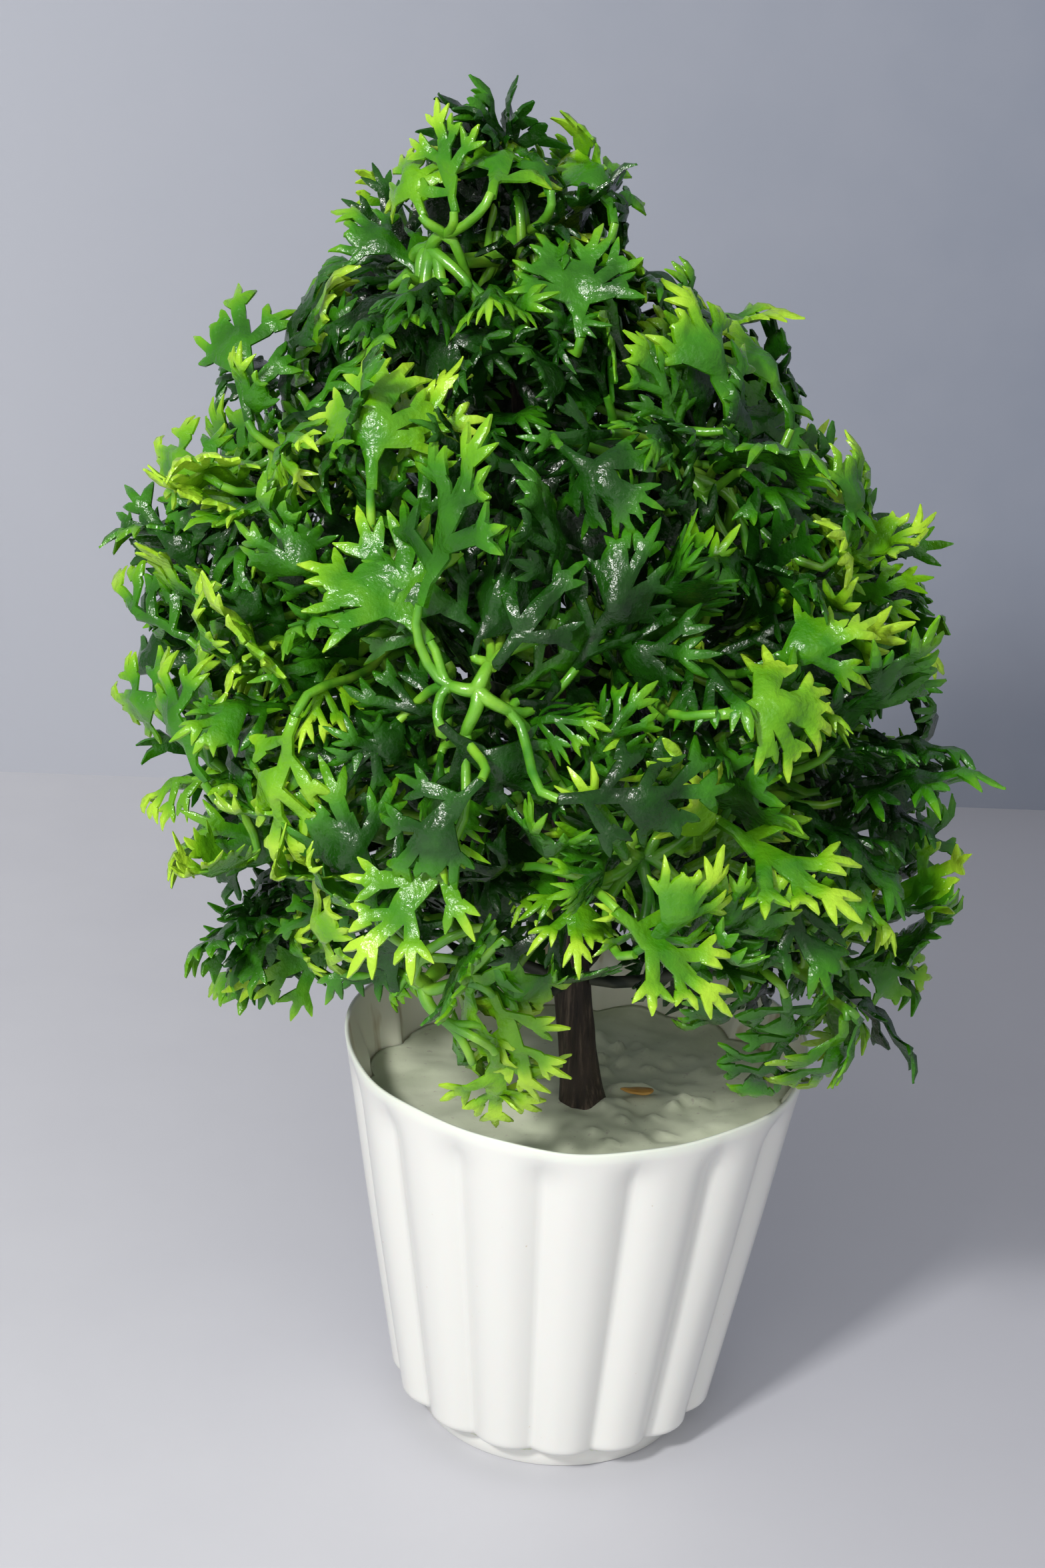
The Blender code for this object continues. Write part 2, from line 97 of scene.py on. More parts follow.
def make_camera():
    backwards = Vector((0.0, -math.cos(CAMERA_PITCH), math.sin(CAMERA_PITCH)))
    level = Vector((1.0, 0.0, 0.0))
    upright = backwards.cross(level)
    across = level * math.cos(CAMERA_ROLL) + upright * math.sin(CAMERA_ROLL)
    above = upright * math.cos(CAMERA_ROLL) - level * math.sin(CAMERA_ROLL)
    lens = bpy.data.cameras.new("camera")
    lens.lens = CAMERA_LENS
    lens.sensor_width = 36.0
    lens.clip_start = 0.02
    lens.clip_end = 50.0
    camera = bpy.data.objects.new("camera", lens)
    turn = Matrix((across, above, backwards)).transposed().to_4x4()
    camera.matrix_world = Matrix.Translation(CAMERA_AIM + backwards * CAMERA_DISTANCE) @ turn
    bpy.context.scene.collection.objects.link(camera)
    bpy.context.scene.camera = camera
    return camera


print("camera at", [round(c, 3) for c in make_camera().location])

# %% [markdown]
# ## Helpers
# Every finish is a small node tree, and every piece is a mesh made in its own place.  Node by node, a finish would
# take a page, so a small class holds the material and gives each common node one short line.  Round pieces are rings
# of points closed with a tip at either end, which keeps control of every wave that a lathe would smooth away.

# %% Helpers for materials
MIX_SOCKETS = (0, 6, 7)     # factor and both colours of a Mix node, whose sockets share their names
MIX_RESULT = 2


class Finish:
    """A material and short ways to add nodes to it."""

    def __init__(self, name, roughness=0.5, **inputs):
        self.material = bpy.data.materials.new(name)
        self.material.use_nodes = True
        self.tree = self.material.node_tree
        self.shader = next(node for node in self.tree.nodes if node.type == "BSDF_PRINCIPLED")
        self.shader.inputs["Roughness"].default_value = roughness
        for socket, value in inputs.items():
            self.shader.inputs[socket.replace("_", " ")].default_value = value

    def add(self, kind, links=None, inputs=None, **settings):
        node = self.tree.nodes.new("ShaderNode" + kind)
        for setting, value in settings.items():
            setattr(node, setting, value)
        for socket, value in (inputs or {}).items():
            node.inputs[socket].default_value = value
        for socket, source in (links or {}).items():
            self.tree.links.new(source, node.inputs[socket])
        return node

    def coordinates(self, stretch=(1.0, 1.0, 1.0)):
        """Object coordinates, stretched."""
        place = self.add("TexCoord")
        scaled = self.add("Mapping", links={"Vector": place.outputs["Object"]}, inputs={"Scale": stretch})
        return scaled.outputs["Vector"]

    def cloud(self, vector, scale, detail=2.0, roughness=0.5):
        """Soft noise from 0 to 1."""
        return self.add("TexNoise", links={"Vector": vector},
                        inputs={"Scale": scale, "Detail": detail, "Roughness": roughness}).outputs["Fac"]

    def ramp(self, value, stops):
        """Colours along a value; stops are (position, colour)."""
        node = self.add("ValToRGB", links={"Fac": value})
        while len(node.color_ramp.elements) < len(stops):
            node.color_ramp.elements.new(0.5)
        for element, (position, colour) in zip(node.color_ramp.elements, stops):
            element.position = position
            element.color = (*colour, 1.0)
        return node.outputs["Color"]

    def steps(self, value, low, high, to_low=0.0, to_high=1.0):
        return self.add("MapRange", links={"Value": value}, inputs={
            "From Min": low, "From Max": high, "To Min": to_low, "To Max": to_high}).outputs["Result"]

    def math(self, operation, first, second):
        node = self.add("Math", operation=operation)
        for socket, value in zip(node.inputs, (first, second)):
            if isinstance(value, (int, float)):
                socket.default_value = value
            else:
                self.tree.links.new(value, socket)
        return node.outputs["Value"]

    def blend(self, factor, first, second):
        """Mix two colours, each a socket or an (r, g, b)."""
        node = self.add("Mix", data_type="RGBA")
        for position, value in zip(MIX_SOCKETS, (factor, first, second)):
            if isinstance(value, bpy.types.NodeSocket):
                self.tree.links.new(value, node.inputs[position])
            elif isinstance(value, tuple):
                node.inputs[position].default_value = (*value, 1.0)
            else:
                node.inputs[position].default_value = value
        return node.outputs[MIX_RESULT]

    def attribute(self, name):
        return self.add("Attribute", attribute_name=name).outputs["Fac"]

    def set(self, socket, source):
        self.tree.links.new(source, self.shader.inputs[socket])

    def bump(self, height, strength, distance):
        node = self.add("Bump", links={"Height": height}, inputs={"Strength": strength, "Distance": distance})
        self.set("Normal", node.outputs["Normal"])


# %% Helpers for meshes

def add_piece(name, mesh, material=None, smooth=True):
    piece = bpy.data.objects.new(name, mesh)
    bpy.context.scene.collection.objects.link(piece)
    if material:
        mesh.materials.append(material)
    if smooth:
        mesh.shade_smooth()
    return piece


def grid_faces(rings, steps):
    """Faces of a tube of rings, each of the same number of points, that closes round on itself."""
    faces = []
    for row in range(rings - 1):
        for column in range(steps):
            after = (column + 1) % steps
            faces.append((row * steps + column, row * steps + after,
                          (row + 1) * steps + after, (row + 1) * steps + column))
    return faces


def skin(name, rings, first_tip, last_tip, material):
    """A closed round piece: rings of points, with a single point at either end."""
    steps = len(rings[0])
    points = [point for ring in rings for point in ring] + [first_tip, last_tip]
    faces = grid_faces(len(rings), steps)
    first, last = len(points) - 2, len(points) - 1
    base = (len(rings) - 1) * steps
    for column in range(steps):
        after = (column + 1) % steps
        faces.append((first, after, column))
        faces.append((last, base + column, base + after))
    mesh = bpy.data.meshes.new(name)
    mesh.from_pydata([tuple(point) for point in points], [], faces)
    work = bmesh.new()
    work.from_mesh(mesh)
    bmesh.ops.recalc_face_normals(work, faces=work.faces)
    work.to_mesh(mesh)
    work.free()
    return add_piece(name, mesh, material)


def triangles(piece):
    return sum(len(face.vertices) - 2 for face in piece.data.polygons)


def smoothstep(low, high, value):
    t = min(max((value - low) / (high - low), 0.0), 1.0)
    return t * t * (3.0 - 2.0 * t)


def rod_ends(node):
    """The two ends of a straight rod's axis: the middle of its lowest and of its highest points."""
    points = sorted({tuple(round(c, 5) for c in vertex.co) for vertex in node.data.vertices}, key=lambda p: p[2])
    half = len(points) // 2
    return [sum((Vector(p) for p in part), Vector()) / len(part) for part in (points[:half], points[half:])]


CORE_BOTTOM, CORE_TOP = rod_ends(NODES["trunk_core"])
TRUNK_UP = (CORE_TOP - CORE_BOTTOM).normalized()


def trunk_at(height):
    """The point of the trunk's axis at a height above the table."""
    return CORE_BOTTOM + TRUNK_UP * ((height - CORE_BOTTOM.z) / TRUNK_UP.z)


print("trunk leans", round(math.degrees(TRUNK_UP.angle(UP)), 1), "degrees")

# %% [markdown]
# ## The pot
# The real pot is thin moulded plastic.  Its sixteen flutes are rounded ridges with narrow valleys between
# them; they end in rounded feet over a plain base ring and fade out below the rim, which was trimmed by hand and is
# a little wavy.  A turned profile alone can't do that, so one function gives the radius of the wall at every angle
# and height, and the outer and inner skins are both read from it.

# %% Pot finish

def pot_finish():
    finish = Finish("pot_plastic", 0.3, Coat_Weight=0.25, Coat_Roughness=0.12, Subsurface_Weight=0.06,
                    Subsurface_Scale=0.002)
    place = finish.coordinates()
    dust = finish.steps(finish.cloud(place, 620.0, 1.0), 0.80, 0.84)
    white = finish.blend(dust, (0.71, 0.71, 0.68), (0.56, 0.50, 0.40))
    edge = finish.attribute("pot_edge")
    white = finish.blend(edge, white, (0.70, 0.74, 0.66))
    inside = finish.attribute("pot_inside")
    streak = finish.cloud(finish.coordinates((1.0, 1.0, 0.12)), 160.0, 3.0)
    grime = finish.blend(finish.steps(streak, 0.60, 0.72), (0.74, 0.75, 0.63), (0.42, 0.34, 0.20))
    finish.set("Base Color", finish.blend(inside, white, grime))
    return finish.material


# %% Pot shape
POT_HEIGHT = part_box("pot")[1].z
RIM_RADIUS = 55.0 * MM
FLUTES = 16
FLUTE_DEPTH = 2.8 * MM
FLUTE_PHASE = math.radians(-86.0)
FLUTE_END_RADIUS = 39.4 * MM
FLUTE_END_HEIGHT = 7.8 * MM
BASE_RING_RADIUS = 32.4 * MM
POT_WALL = 1.1 * MM
POT_FLOOR = 1.6 * MM
RIM_ROUND = 0.3 * MM
POT_STEPS = FLUTES * 18
POT_ROWS = 30
FEET_TOP = FLUTE_END_HEIGHT + 1.8 * MM
POT_DENTS = (           # angle in degrees, then height, depth and width in mm
    (-91.0, 80.5, 0.55, 3.2), (-72.5, 92.0, 0.8, 3.5), (-60.0, 91.5, 0.6, 2.6))


def ridge_radius(height):
    share = (height - FLUTE_END_HEIGHT) / (POT_HEIGHT - FLUTE_END_HEIGHT)
    return FLUTE_END_RADIUS + (RIM_RADIUS - FLUTE_END_RADIUS) * share


def flute(angle):
    """0 on a ridge, 1 in the valley, rounded at both."""
    wave = abs(math.sin(0.5 * FLUTES * (angle - FLUTE_PHASE)))
    return 1.0 - math.sqrt(max(1.0 - wave ** 2.6, 0.0)) if wave < 1.0 else 1.0


def wall_radius(angle, height):
    """Outer radius of the fluted wall, with the dents that a thin pot gets below its rim."""
    fade = 1.0 - smoothstep(POT_HEIGHT - 11.0 * MM, POT_HEIGHT - 1.5 * MM, height)
    press = FLUTE_DEPTH * flute(angle) * fade
    wobble = 0.45 * MM * math.sin(3.0 * angle + 0.6) + 0.25 * MM * math.sin(7.0 * angle)
    wobble *= smoothstep(0.5 * POT_HEIGHT, POT_HEIGHT, height)
    dents = 0.0
    for dent_angle, dent_height, depth, width in POT_DENTS:
        away = math.hypot((angle - math.radians(dent_angle)) * RIM_RADIUS, height - dent_height * MM)
        dents += depth * MM * math.exp(-(away / (width * MM)) ** 2)
    return ridge_radius(height) - press + wobble - dents


def rim_height(angle):
    """The trimmed rim is not quite level."""
    return (0.5 * math.sin(2.0 * angle + 1.1) + 0.35 * math.sin(5.0 * angle) + 0.15 * math.sin(13.0 * angle)) * MM


def pot_ring(radius_at, height):
    """One ring of the pot; rings near the top follow the rim's waves."""
    follow = smoothstep(POT_HEIGHT - 8.0 * MM, POT_HEIGHT, height)
    ring = []
    for step in range(POT_STEPS):
        angle = math.tau * step / POT_STEPS
        radius = radius_at(angle, height)
        ring.append((radius * math.cos(angle), radius * math.sin(angle), height + follow * rim_height(angle)))
    return ring


def plain_ring(radius, height):
    return pot_ring(lambda a, h: radius, height)


def foot_ring(share):
    """The rounded lower end of the flutes, from the wall (0) to the base ring (1)."""
    swing = 0.5 * math.pi * share
    height = FEET_TOP - 3.2 * MM * math.sin(swing)

    def radius_at(angle, _):
        wall = wall_radius(angle, FEET_TOP)
        return BASE_RING_RADIUS + (wall - BASE_RING_RADIUS) * math.cos(swing) ** 0.55

    return pot_ring(radius_at, height)


def make_pot():
    span = POT_HEIGHT - FLUTE_END_HEIGHT - 2.4 * MM
    heights = [FEET_TOP + span * row / POT_ROWS for row in range(POT_ROWS + 1)]
    rings = [plain_ring(BASE_RING_RADIUS * 0.5, 0.0), plain_ring(BASE_RING_RADIUS - 0.5 * MM, 0.0),
             plain_ring(BASE_RING_RADIUS, 0.5 * MM), plain_ring(BASE_RING_RADIUS, 3.0 * MM)]
    rings += [foot_ring(share / 6.0) for share in range(6, 0, -1)]
    rings += [pot_ring(wall_radius, height) for height in heights]
    outer_count = len(rings)
    for inset in (RIM_ROUND, POT_WALL - RIM_ROUND):
        rings.append(pot_ring(lambda a, h: wall_radius(a, h) - inset, POT_HEIGHT - 0.12 * MM))
    rings += [pot_ring(lambda a, h: wall_radius(a, h) - POT_WALL, height) for height in reversed(heights)]
    rings += [plain_ring(BASE_RING_RADIUS - POT_WALL, height) for height in (FLUTE_END_HEIGHT, POT_FLOOR)]
    pot = skin("pot_shell", rings, (0.0, 0.0, 0.0), (0.0, 0.0, POT_FLOOR), pot_finish())
    edge = pot.data.attributes.new("pot_edge", "FLOAT", "POINT")
    inside = pot.data.attributes.new("pot_inside", "FLOAT", "POINT")
    for number in range(len(pot.data.vertices)):
        ring = number // POT_STEPS
        edge.data[number].value = 1.0 if outer_count - 1 <= ring <= outer_count + 1 else 0.0
        inside.data[number].value = 1.0 if ring > outer_count + 1 else 0.0
    return pot


pot = make_pot()
print("pot:", len(pot.data.polygons), "faces")

# %% [markdown]
# ## The plaster
# Plaster is poured in round the trunk and sets with whatever marks the spoon left: nearly flat at one side, lumpy
# with small peaks near the trunk.  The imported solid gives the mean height, so its surface is measured with a ray and
# the lumps are added on a finer disc.  Waves set by a formula would look regular; fractal noise does not.

# %% Plaster finish

def plaster_finish():
    finish = Finish("cast_plaster", 0.7, Specular_IOR_Level=0.35)
    place = finish.coordinates()
    tone = finish.ramp(finish.cloud(place, 60.0, 4.0),
                       [(0.35, (0.60, 0.65, 0.48)), (0.65, (0.70, 0.74, 0.57))])
    grit = finish.steps(finish.cloud(place, 700.0, 2.0), 0.66, 0.74)
    finish.set("Base Color", finish.blend(grit, tone, (0.55, 0.55, 0.44)))
    finish.set("Roughness", finish.steps(finish.cloud(place, 110.0, 2.0), 0.3, 0.7, 0.45, 0.8))
    finish.bump(finish.cloud(place, 420.0, 3.0, 0.5), 0.10, 0.0006)
    return finish.material


# %% Plaster shape
CAST_GAP = 0.25 * MM
PLASTER_STEPS = 144
PLASTER_RINGS = 44
TRUNK_FOOT_HEIGHT = 85.0 * MM
PACKED_PLASTER = NODES["plaster_fill"].data
plaster_top = BVHTree.FromPolygons([v.co.copy() for v in PACKED_PLASTER.vertices],
                                   [tuple(p.vertices) for p in PACKED_PLASTER.polygons])
TRUNK_FOOT = trunk_at(TRUNK_FOOT_HEIGHT)
TRUNK_CLEAR = 7.5 * MM


def cast_height(x, y):
    """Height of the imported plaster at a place; over the trunk's hole or past the edge, the height beside it."""
    away = Vector((x - TRUNK_FOOT.x, y - TRUNK_FOOT.y, 0.0))
    if away.length < TRUNK_CLEAR:
        away = (away.normalized() if away.length > 1e-6 else Vector((1.0, 0.0, 0.0))) * TRUNK_CLEAR
        x, y = TRUNK_FOOT.x + away.x, TRUNK_FOOT.y + away.y
    for inwards in (1.0, 0.97, 0.94, 0.90):
        hit = plaster_top.ray_cast(Vector((x * inwards, y * inwards, 0.2)), Vector((0.0, 0.0, -1.0)))[0]
        if hit:
            return hit.z
    return TRUNK_FOOT_HEIGHT


def plaster_height(x, y):
    """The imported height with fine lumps, rough to the right of the trunk and close round it."""
    base = cast_height(x, y)
    place = Vector((x, y, 0.0)) / MM
    rough = smoothstep(-6.0 * MM, 8.0 * MM, x - TRUNK_FOOT.x)
    rough *= 1.0 - smoothstep(26.0 * MM, 44.0 * MM, math.hypot(x, y))
    from_trunk = math.hypot(x - TRUNK_FOOT.x, y - TRUNK_FOOT.y)
    near = math.exp(-(from_trunk / (13.0 * MM)) ** 2)
    lumps = noise.fractal(place * 0.12, 1.0, 2.0, 2)
    peaks = max(noise.noise(place * 0.22 + Vector((3.0, 1.0, 0.0))) - 0.16, 0.0) * 5.5
    swirl = abs(noise.noise(place * 0.11 + Vector((8.0, 0.0, 0.0))))
    uneven = 0.22 * lumps + rough * (0.55 * lumps + 0.8 * peaks - 0.8 * swirl) + near * 0.7 * lumps
    return base + uneven * MM


def cast_ring(radius_at, height):
    """A ring of the plaster's side, inside the pot's wall."""
    ring = []
    for step in range(PLASTER_STEPS):
        angle = math.tau * step / PLASTER_STEPS
        radius = radius_at(angle, height) - POT_WALL - CAST_GAP
        ring.append((radius * math.cos(angle), radius * math.sin(angle), height))
    return ring


def make_plaster():
    rings = []
    for row in range(1, PLASTER_RINGS + 1):
        share = row / PLASTER_RINGS
        ring = []
        for step in range(PLASTER_STEPS):
            angle = math.tau * step / PLASTER_STEPS
            edge = wall_radius(angle, TRUNK_FOOT_HEIGHT) - POT_WALL - CAST_GAP - 0.2 * MM
            x, y = edge * share * math.cos(angle), edge * share * math.sin(angle)
            height = plaster_height(min(share, 0.985) / share * x, min(share, 0.985) / share * y)
            if share == 1.0:
                grow = (wall_radius(angle, height) - wall_radius(angle, TRUNK_FOOT_HEIGHT)) / edge
                x, y = x * (1.0 + grow), y * (1.0 + grow)
                height += 0.35 * MM
            ring.append((x, y, height))
        rings.append(ring)
    rings += [cast_ring(wall_radius, height) for height in (40.0 * MM, 12.0 * MM)]
    rings.append(cast_ring(lambda a, h: BASE_RING_RADIUS, POT_FLOOR + CAST_GAP))
    return skin("plaster_cast", rings, (0.0, 0.0, plaster_height(0.0, 0.0)), (0.0, 0.0, POT_FLOOR + CAST_GAP),
                plaster_finish())


plaster = make_plaster()
print("plaster:", len(plaster.data.polygons), "faces")

# %% [markdown]
# ## The trunk
# The trunk is a steel core in crepe paper that was pulled tight and twisted, so creases run up it.  A lathe would
# give a smooth pipe; here a grid of points is pushed in along creases whose place drifts slowly with height.

# %% Bark finish

def bark_finish():
    finish = Finish("bark_paper", 0.62, Specular_IOR_Level=0.4)
    place = finish.coordinates((1.0, 1.0, 0.07))
    grain = finish.cloud(place, 900.0, 5.0, 0.65)
    tone = finish.ramp(grain, [(0.30, (0.006, 0.004, 0.004)), (0.52, (0.035, 0.024, 0.018)),
                               (0.70, (0.14, 0.105, 0.08))])
    patch = finish.steps(finish.cloud(finish.coordinates(), 70.0, 3.0), 0.5, 0.72)
    finish.set("Base Color", finish.blend(patch, tone, (0.05, 0.034, 0.028)))
    finish.set("Roughness", finish.steps(grain, 0.3, 0.7, 0.42, 0.75))
    finish.bump(grain, 0.8, 0.0006)
    return finish.material


# %% Trunk shape
BARK = bark_finish()
WRAP_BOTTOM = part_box("trunk_wrap")[0].z
WRAP_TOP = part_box("trunk_wrap")[1].z - 0.4 * MM
WRAP_RADIUS = 4.7 * MM
WRAP_TOP_RADIUS = 3.5 * MM
WRAP_FLARE = 1.5 * MM
FLARE_HEIGHT = 14.0 * MM
CREASE_DEPTH = 0.75 * MM
BARK_STEPS = 64
BARK_ROWS = 120


def crease(angle, height):
    """Depth of the bark's creases, as a share of CREASE_DEPTH."""
    drift = 0.35 * math.sin(height / MM * 0.045) + 0.2 * math.sin(height / MM * 0.11 + 2.0)
    depth = 0.0
    for count, weight, phase in ((5, 0.42, 0.3), (9, 0.30, 1.9), (17, 0.18, 4.0)):
        depth += weight * abs(math.sin(0.5 * count * (angle + drift) + phase))
    rough = noise.noise(Vector((4.0 * math.cos(angle), 4.0 * math.sin(angle), height / MM * 0.13)))
    return depth + 0.35 * rough


def make_bark():
    side = TRUNK_UP.orthogonal().normalized()
    ahead = TRUNK_UP.cross(side)
    rings = []
    for row in range(BARK_ROWS + 1):
        height = WRAP_BOTTOM + (WRAP_TOP - WRAP_BOTTOM) * row / BARK_ROWS
        centre = trunk_at(height)
        share = smoothstep(TRUNK_FOOT_HEIGHT, WRAP_TOP, height)
        flare = max(1.0 - max(height - TRUNK_FOOT_HEIGHT, 0.0) / FLARE_HEIGHT, 0.0) ** 2
        radius = WRAP_RADIUS + (WRAP_TOP_RADIUS - WRAP_RADIUS) * share + WRAP_FLARE * flare
        ring = []
        for step in range(BARK_STEPS):
            angle = math.tau * step / BARK_STEPS
            reach = radius - CREASE_DEPTH * crease(angle, height)
            ring.append(centre + (side * math.cos(angle) + ahead * math.sin(angle)) * reach)
        rings.append(ring)
    return skin("bark_wrap", rings, trunk_at(WRAP_BOTTOM), trunk_at(WRAP_TOP), BARK)


bark = make_bark()
print("bark:", len(bark.data.polygons), "faces")

# %% [markdown]
# ## The flake of bark
# One orange flake lies on the plaster.  It is thin, pointed at one end and a little bent.  Four rings stacked in a
# drop's outline give it its rounded edge, and its ends are lifted a little off the plaster.

# %% Flake
FLAKE_STEPS = 28


def make_flake():
    finish = Finish("orange_bark", 0.6)
    grain = finish.cloud(finish.coordinates((0.2, 1.0, 1.0)), 900.0, 4.0)
    finish.set("Base Color", finish.ramp(grain, [(0.3, (0.44, 0.20, 0.03)), (0.7, (0.66, 0.38, 0.10))]))
    finish.bump(grain, 0.5, 0.0004)
    low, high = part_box("bark_chip")
    middle = (low + high) * 0.5
    size = high - low
    rings = []
    for level, grow in ((0.0, 0.86), (0.3, 1.0), (0.7, 1.0), (1.0, 0.84)):
        ring = []
        for step in range(FLAKE_STEPS):
            angle = math.tau * step / FLAKE_STEPS
            wide = 0.68 + 0.30 * math.cos(angle) + 0.06 * math.sin(5.0 * angle)
            x = 0.56 * size.x * math.cos(angle) * grow
            y = size.y * wide * 0.75 * math.sin(angle) * grow
            bend = 0.35 * MM * math.cos(angle) ** 2
            ring.append((middle.x + x, middle.y + y, low.z + size.z * (0.15 + 0.6 * level) + bend))
        rings.append(ring)
    return skin("orange_flake", rings, (middle.x, middle.y, low.z + 0.15 * size.z),
                (middle.x, middle.y, low.z + 0.75 * size.z), finish.material)


flake = make_flake()
print("flake:", len(flake.data.polygons), "faces")

# %% [markdown]
# ## One leaf
# The leaves are flat mouldings like parsley: a raised midrib, lobes to its sides, and two or three pointed fingers
# at the end of each lobe.  Drawing such an outline by hand is slow, and every leaf would need its own.  Instead each
# lobe and each finger is a short tapered strip, the strips overlap, and a triangulation keeps what lies inside any
# of them.  Points along the ribs are added, so that the ribs can be raised, and the flat leaf is bent last.

# %% Strips, lobes and fingers
FINGER_SPREAD = {2: 0.85, 3: 1.30}        # angle over which a lobe's two or three fingers are spread
FINGER_WIDTHS = (0.036, 0.030, 0.010)     # half widths, in shares of the leaf's length like all sizes of a leaf


def strip(start, direction, length, root, shoulder, end):
    """A tapered outline from its half widths at the root, the shoulder and the end."""
    side = Vector((-direction.y, direction.x))
    right = [(0.0, root), (0.6, shoulder), (0.92, end), (1.0, 0.45 * end)]
    outline = [start + direction * (length * along) - side * half for along, half in right]
    outline += [start + direction * (length * along) + side * half for along, half in reversed(right)]
    return outline


def heading(angle):
    return Vector((math.cos(angle), math.sin(angle)))


def lobe(start, angle, length, width, teeth, draw):
    """Strips and ribs of one lobe: a wedge that widens outwards and ends in short pointed fingers."""
    direction = heading(angle)
    side = Vector((-direction.y, direction.x))
    strips = [strip(start, direction, 0.86 * length, 0.60 * width, width, 0.95 * width)]
    fork = start + direction * (0.66 * length)
    ribs = [(start, fork)]
    spread = FINGER_SPREAD[teeth]
    for number in range(teeth):
        share = number / (teeth - 1) - 0.5
        turned = heading(angle + spread * share + draw.uniform(-0.12, 0.12))
        root = fork + side * (share * width * 1.2) + direction * (0.10 * length * (1.0 - abs(2.0 * share)))
        reach = (0.085 + 0.19 * length) * draw.uniform(0.82, 1.22) + 0.07 * length * (1.0 - abs(2.0 * share))
        strips.append(strip(root, turned, reach, *FINGER_WIDTHS))
        ribs.append((fork, root + turned * (0.70 * reach)))
    return strips, ribs


# %% Leaf plans
# Each row is a lobe: its place on the midrib, its angle in degrees, its length, its half width and its fingers.
FEATHER_LOBES = 6


def feather_plan(draw):
    """Six lobes set alternately up the midrib, and one at its end, each a wedge with two or three fingers."""
    for number in range(FEATHER_LOBES):
        side = 1.0 if number % 2 else -1.0
        place = 0.14 + 0.50 * number / (FEATHER_LOBES - 1)
        reach = (0.44 - 0.22 * abs(place - 0.32) ** 0.8) * draw.uniform(0.88, 1.12)
        yield place, side * (62.0 - 34.0 * place), reach, 0.039, 3 if place < 0.5 and draw.random() < 0.5 else 2
    yield 0.60, draw.uniform(-9.0, 9.0), 0.40, 0.047, 3


def antler_plan(draw):
    """A few long lobes with wide webs between them."""
    turn = draw.choice((-1.0, 1.0))
    yield 0.20, turn * draw.uniform(54.0, 66.0), 0.45, 0.053, 3
    yield 0.34, -turn * draw.uniform(46.0, 58.0), 0.49, 0.059, 3
    yield 0.50, turn * draw.uniform(38.0, 48.0), 0.43, 0.053, 3
    yield 0.58, draw.uniform(-12.0, 2.0) * turn, 0.47, 0.057, 3
    yield 0.60, -turn * 44.0, 0.31, 0.042, 2


def fan_plan(draw):
    """Lobes fanned out from one point, so the leaf widens to a fringe of fingers."""
    for angle in (-76.0, -46.0, -16.0, 14.0, 44.0, 74.0):
        reach = 0.42 + 0.24 * math.cos(math.radians(angle)) ** 2
        turned, fingers = angle + draw.uniform(-5.0, 5.0), 3 if abs(angle) < 30.0 else 2
        yield 0.30, turned, reach * draw.uniform(0.90, 1.10), 0.056, fingers


def trident_plan(draw):
    """The small leaf: three lobes."""
    yield 0.28, -draw.uniform(44.0, 56.0), 0.49, 0.056, 2
    yield 0.32, draw.uniform(44.0, 56.0), 0.49, 0.056, 2
    yield 0.42, draw.uniform(-6.0, 6.0), 0.58, 0.062, 3


WEBS = {            # half widths of the web along the midrib: (place, half width)
    feather_plan: ((0.0, 0.036), (0.12, 0.036), (0.24, 0.047), (0.55, 0.049), (0.80, 0.036)),
    antler_plan: ((0.0, 0.036), (0.14, 0.038), (0.32, 0.082), (0.55, 0.084), (0.76, 0.052)),
    fan_plan: ((0.0, 0.036), (0.18, 0.046), (0.34, 0.110), (0.50, 0.130), (0.64, 0.060)),
    trident_plan: ((0.0, 0.042), (0.20, 0.048), (0.38, 0.072), (0.56, 0.070), (0.74, 0.048)),
}


# %% From plan to flat sheet
KEEP_INSIDE = 1        # the triangulation's mode that keeps what lies inside the outlines
NEAR = 0.004           # points nearer than this are merged
RIB_STEP = 0.10        # distance between the points along a rib


def rim_edges(faces):
    """The edges that only one face has, each in that face's direction."""
    sides = {(a, b) for face in faces for a, b in zip(face, face[1:] + face[:1])}
    return sorted((a, b) for a, b in sides if (b, a) not in sides)


def covered(point, solid):
    """Whether a point lies in one of the solid triangles; gaps between lobes that touch again stay open this way."""
    return any(geometry.intersect_point_tri_2d(point, *corners) for corners in solid)


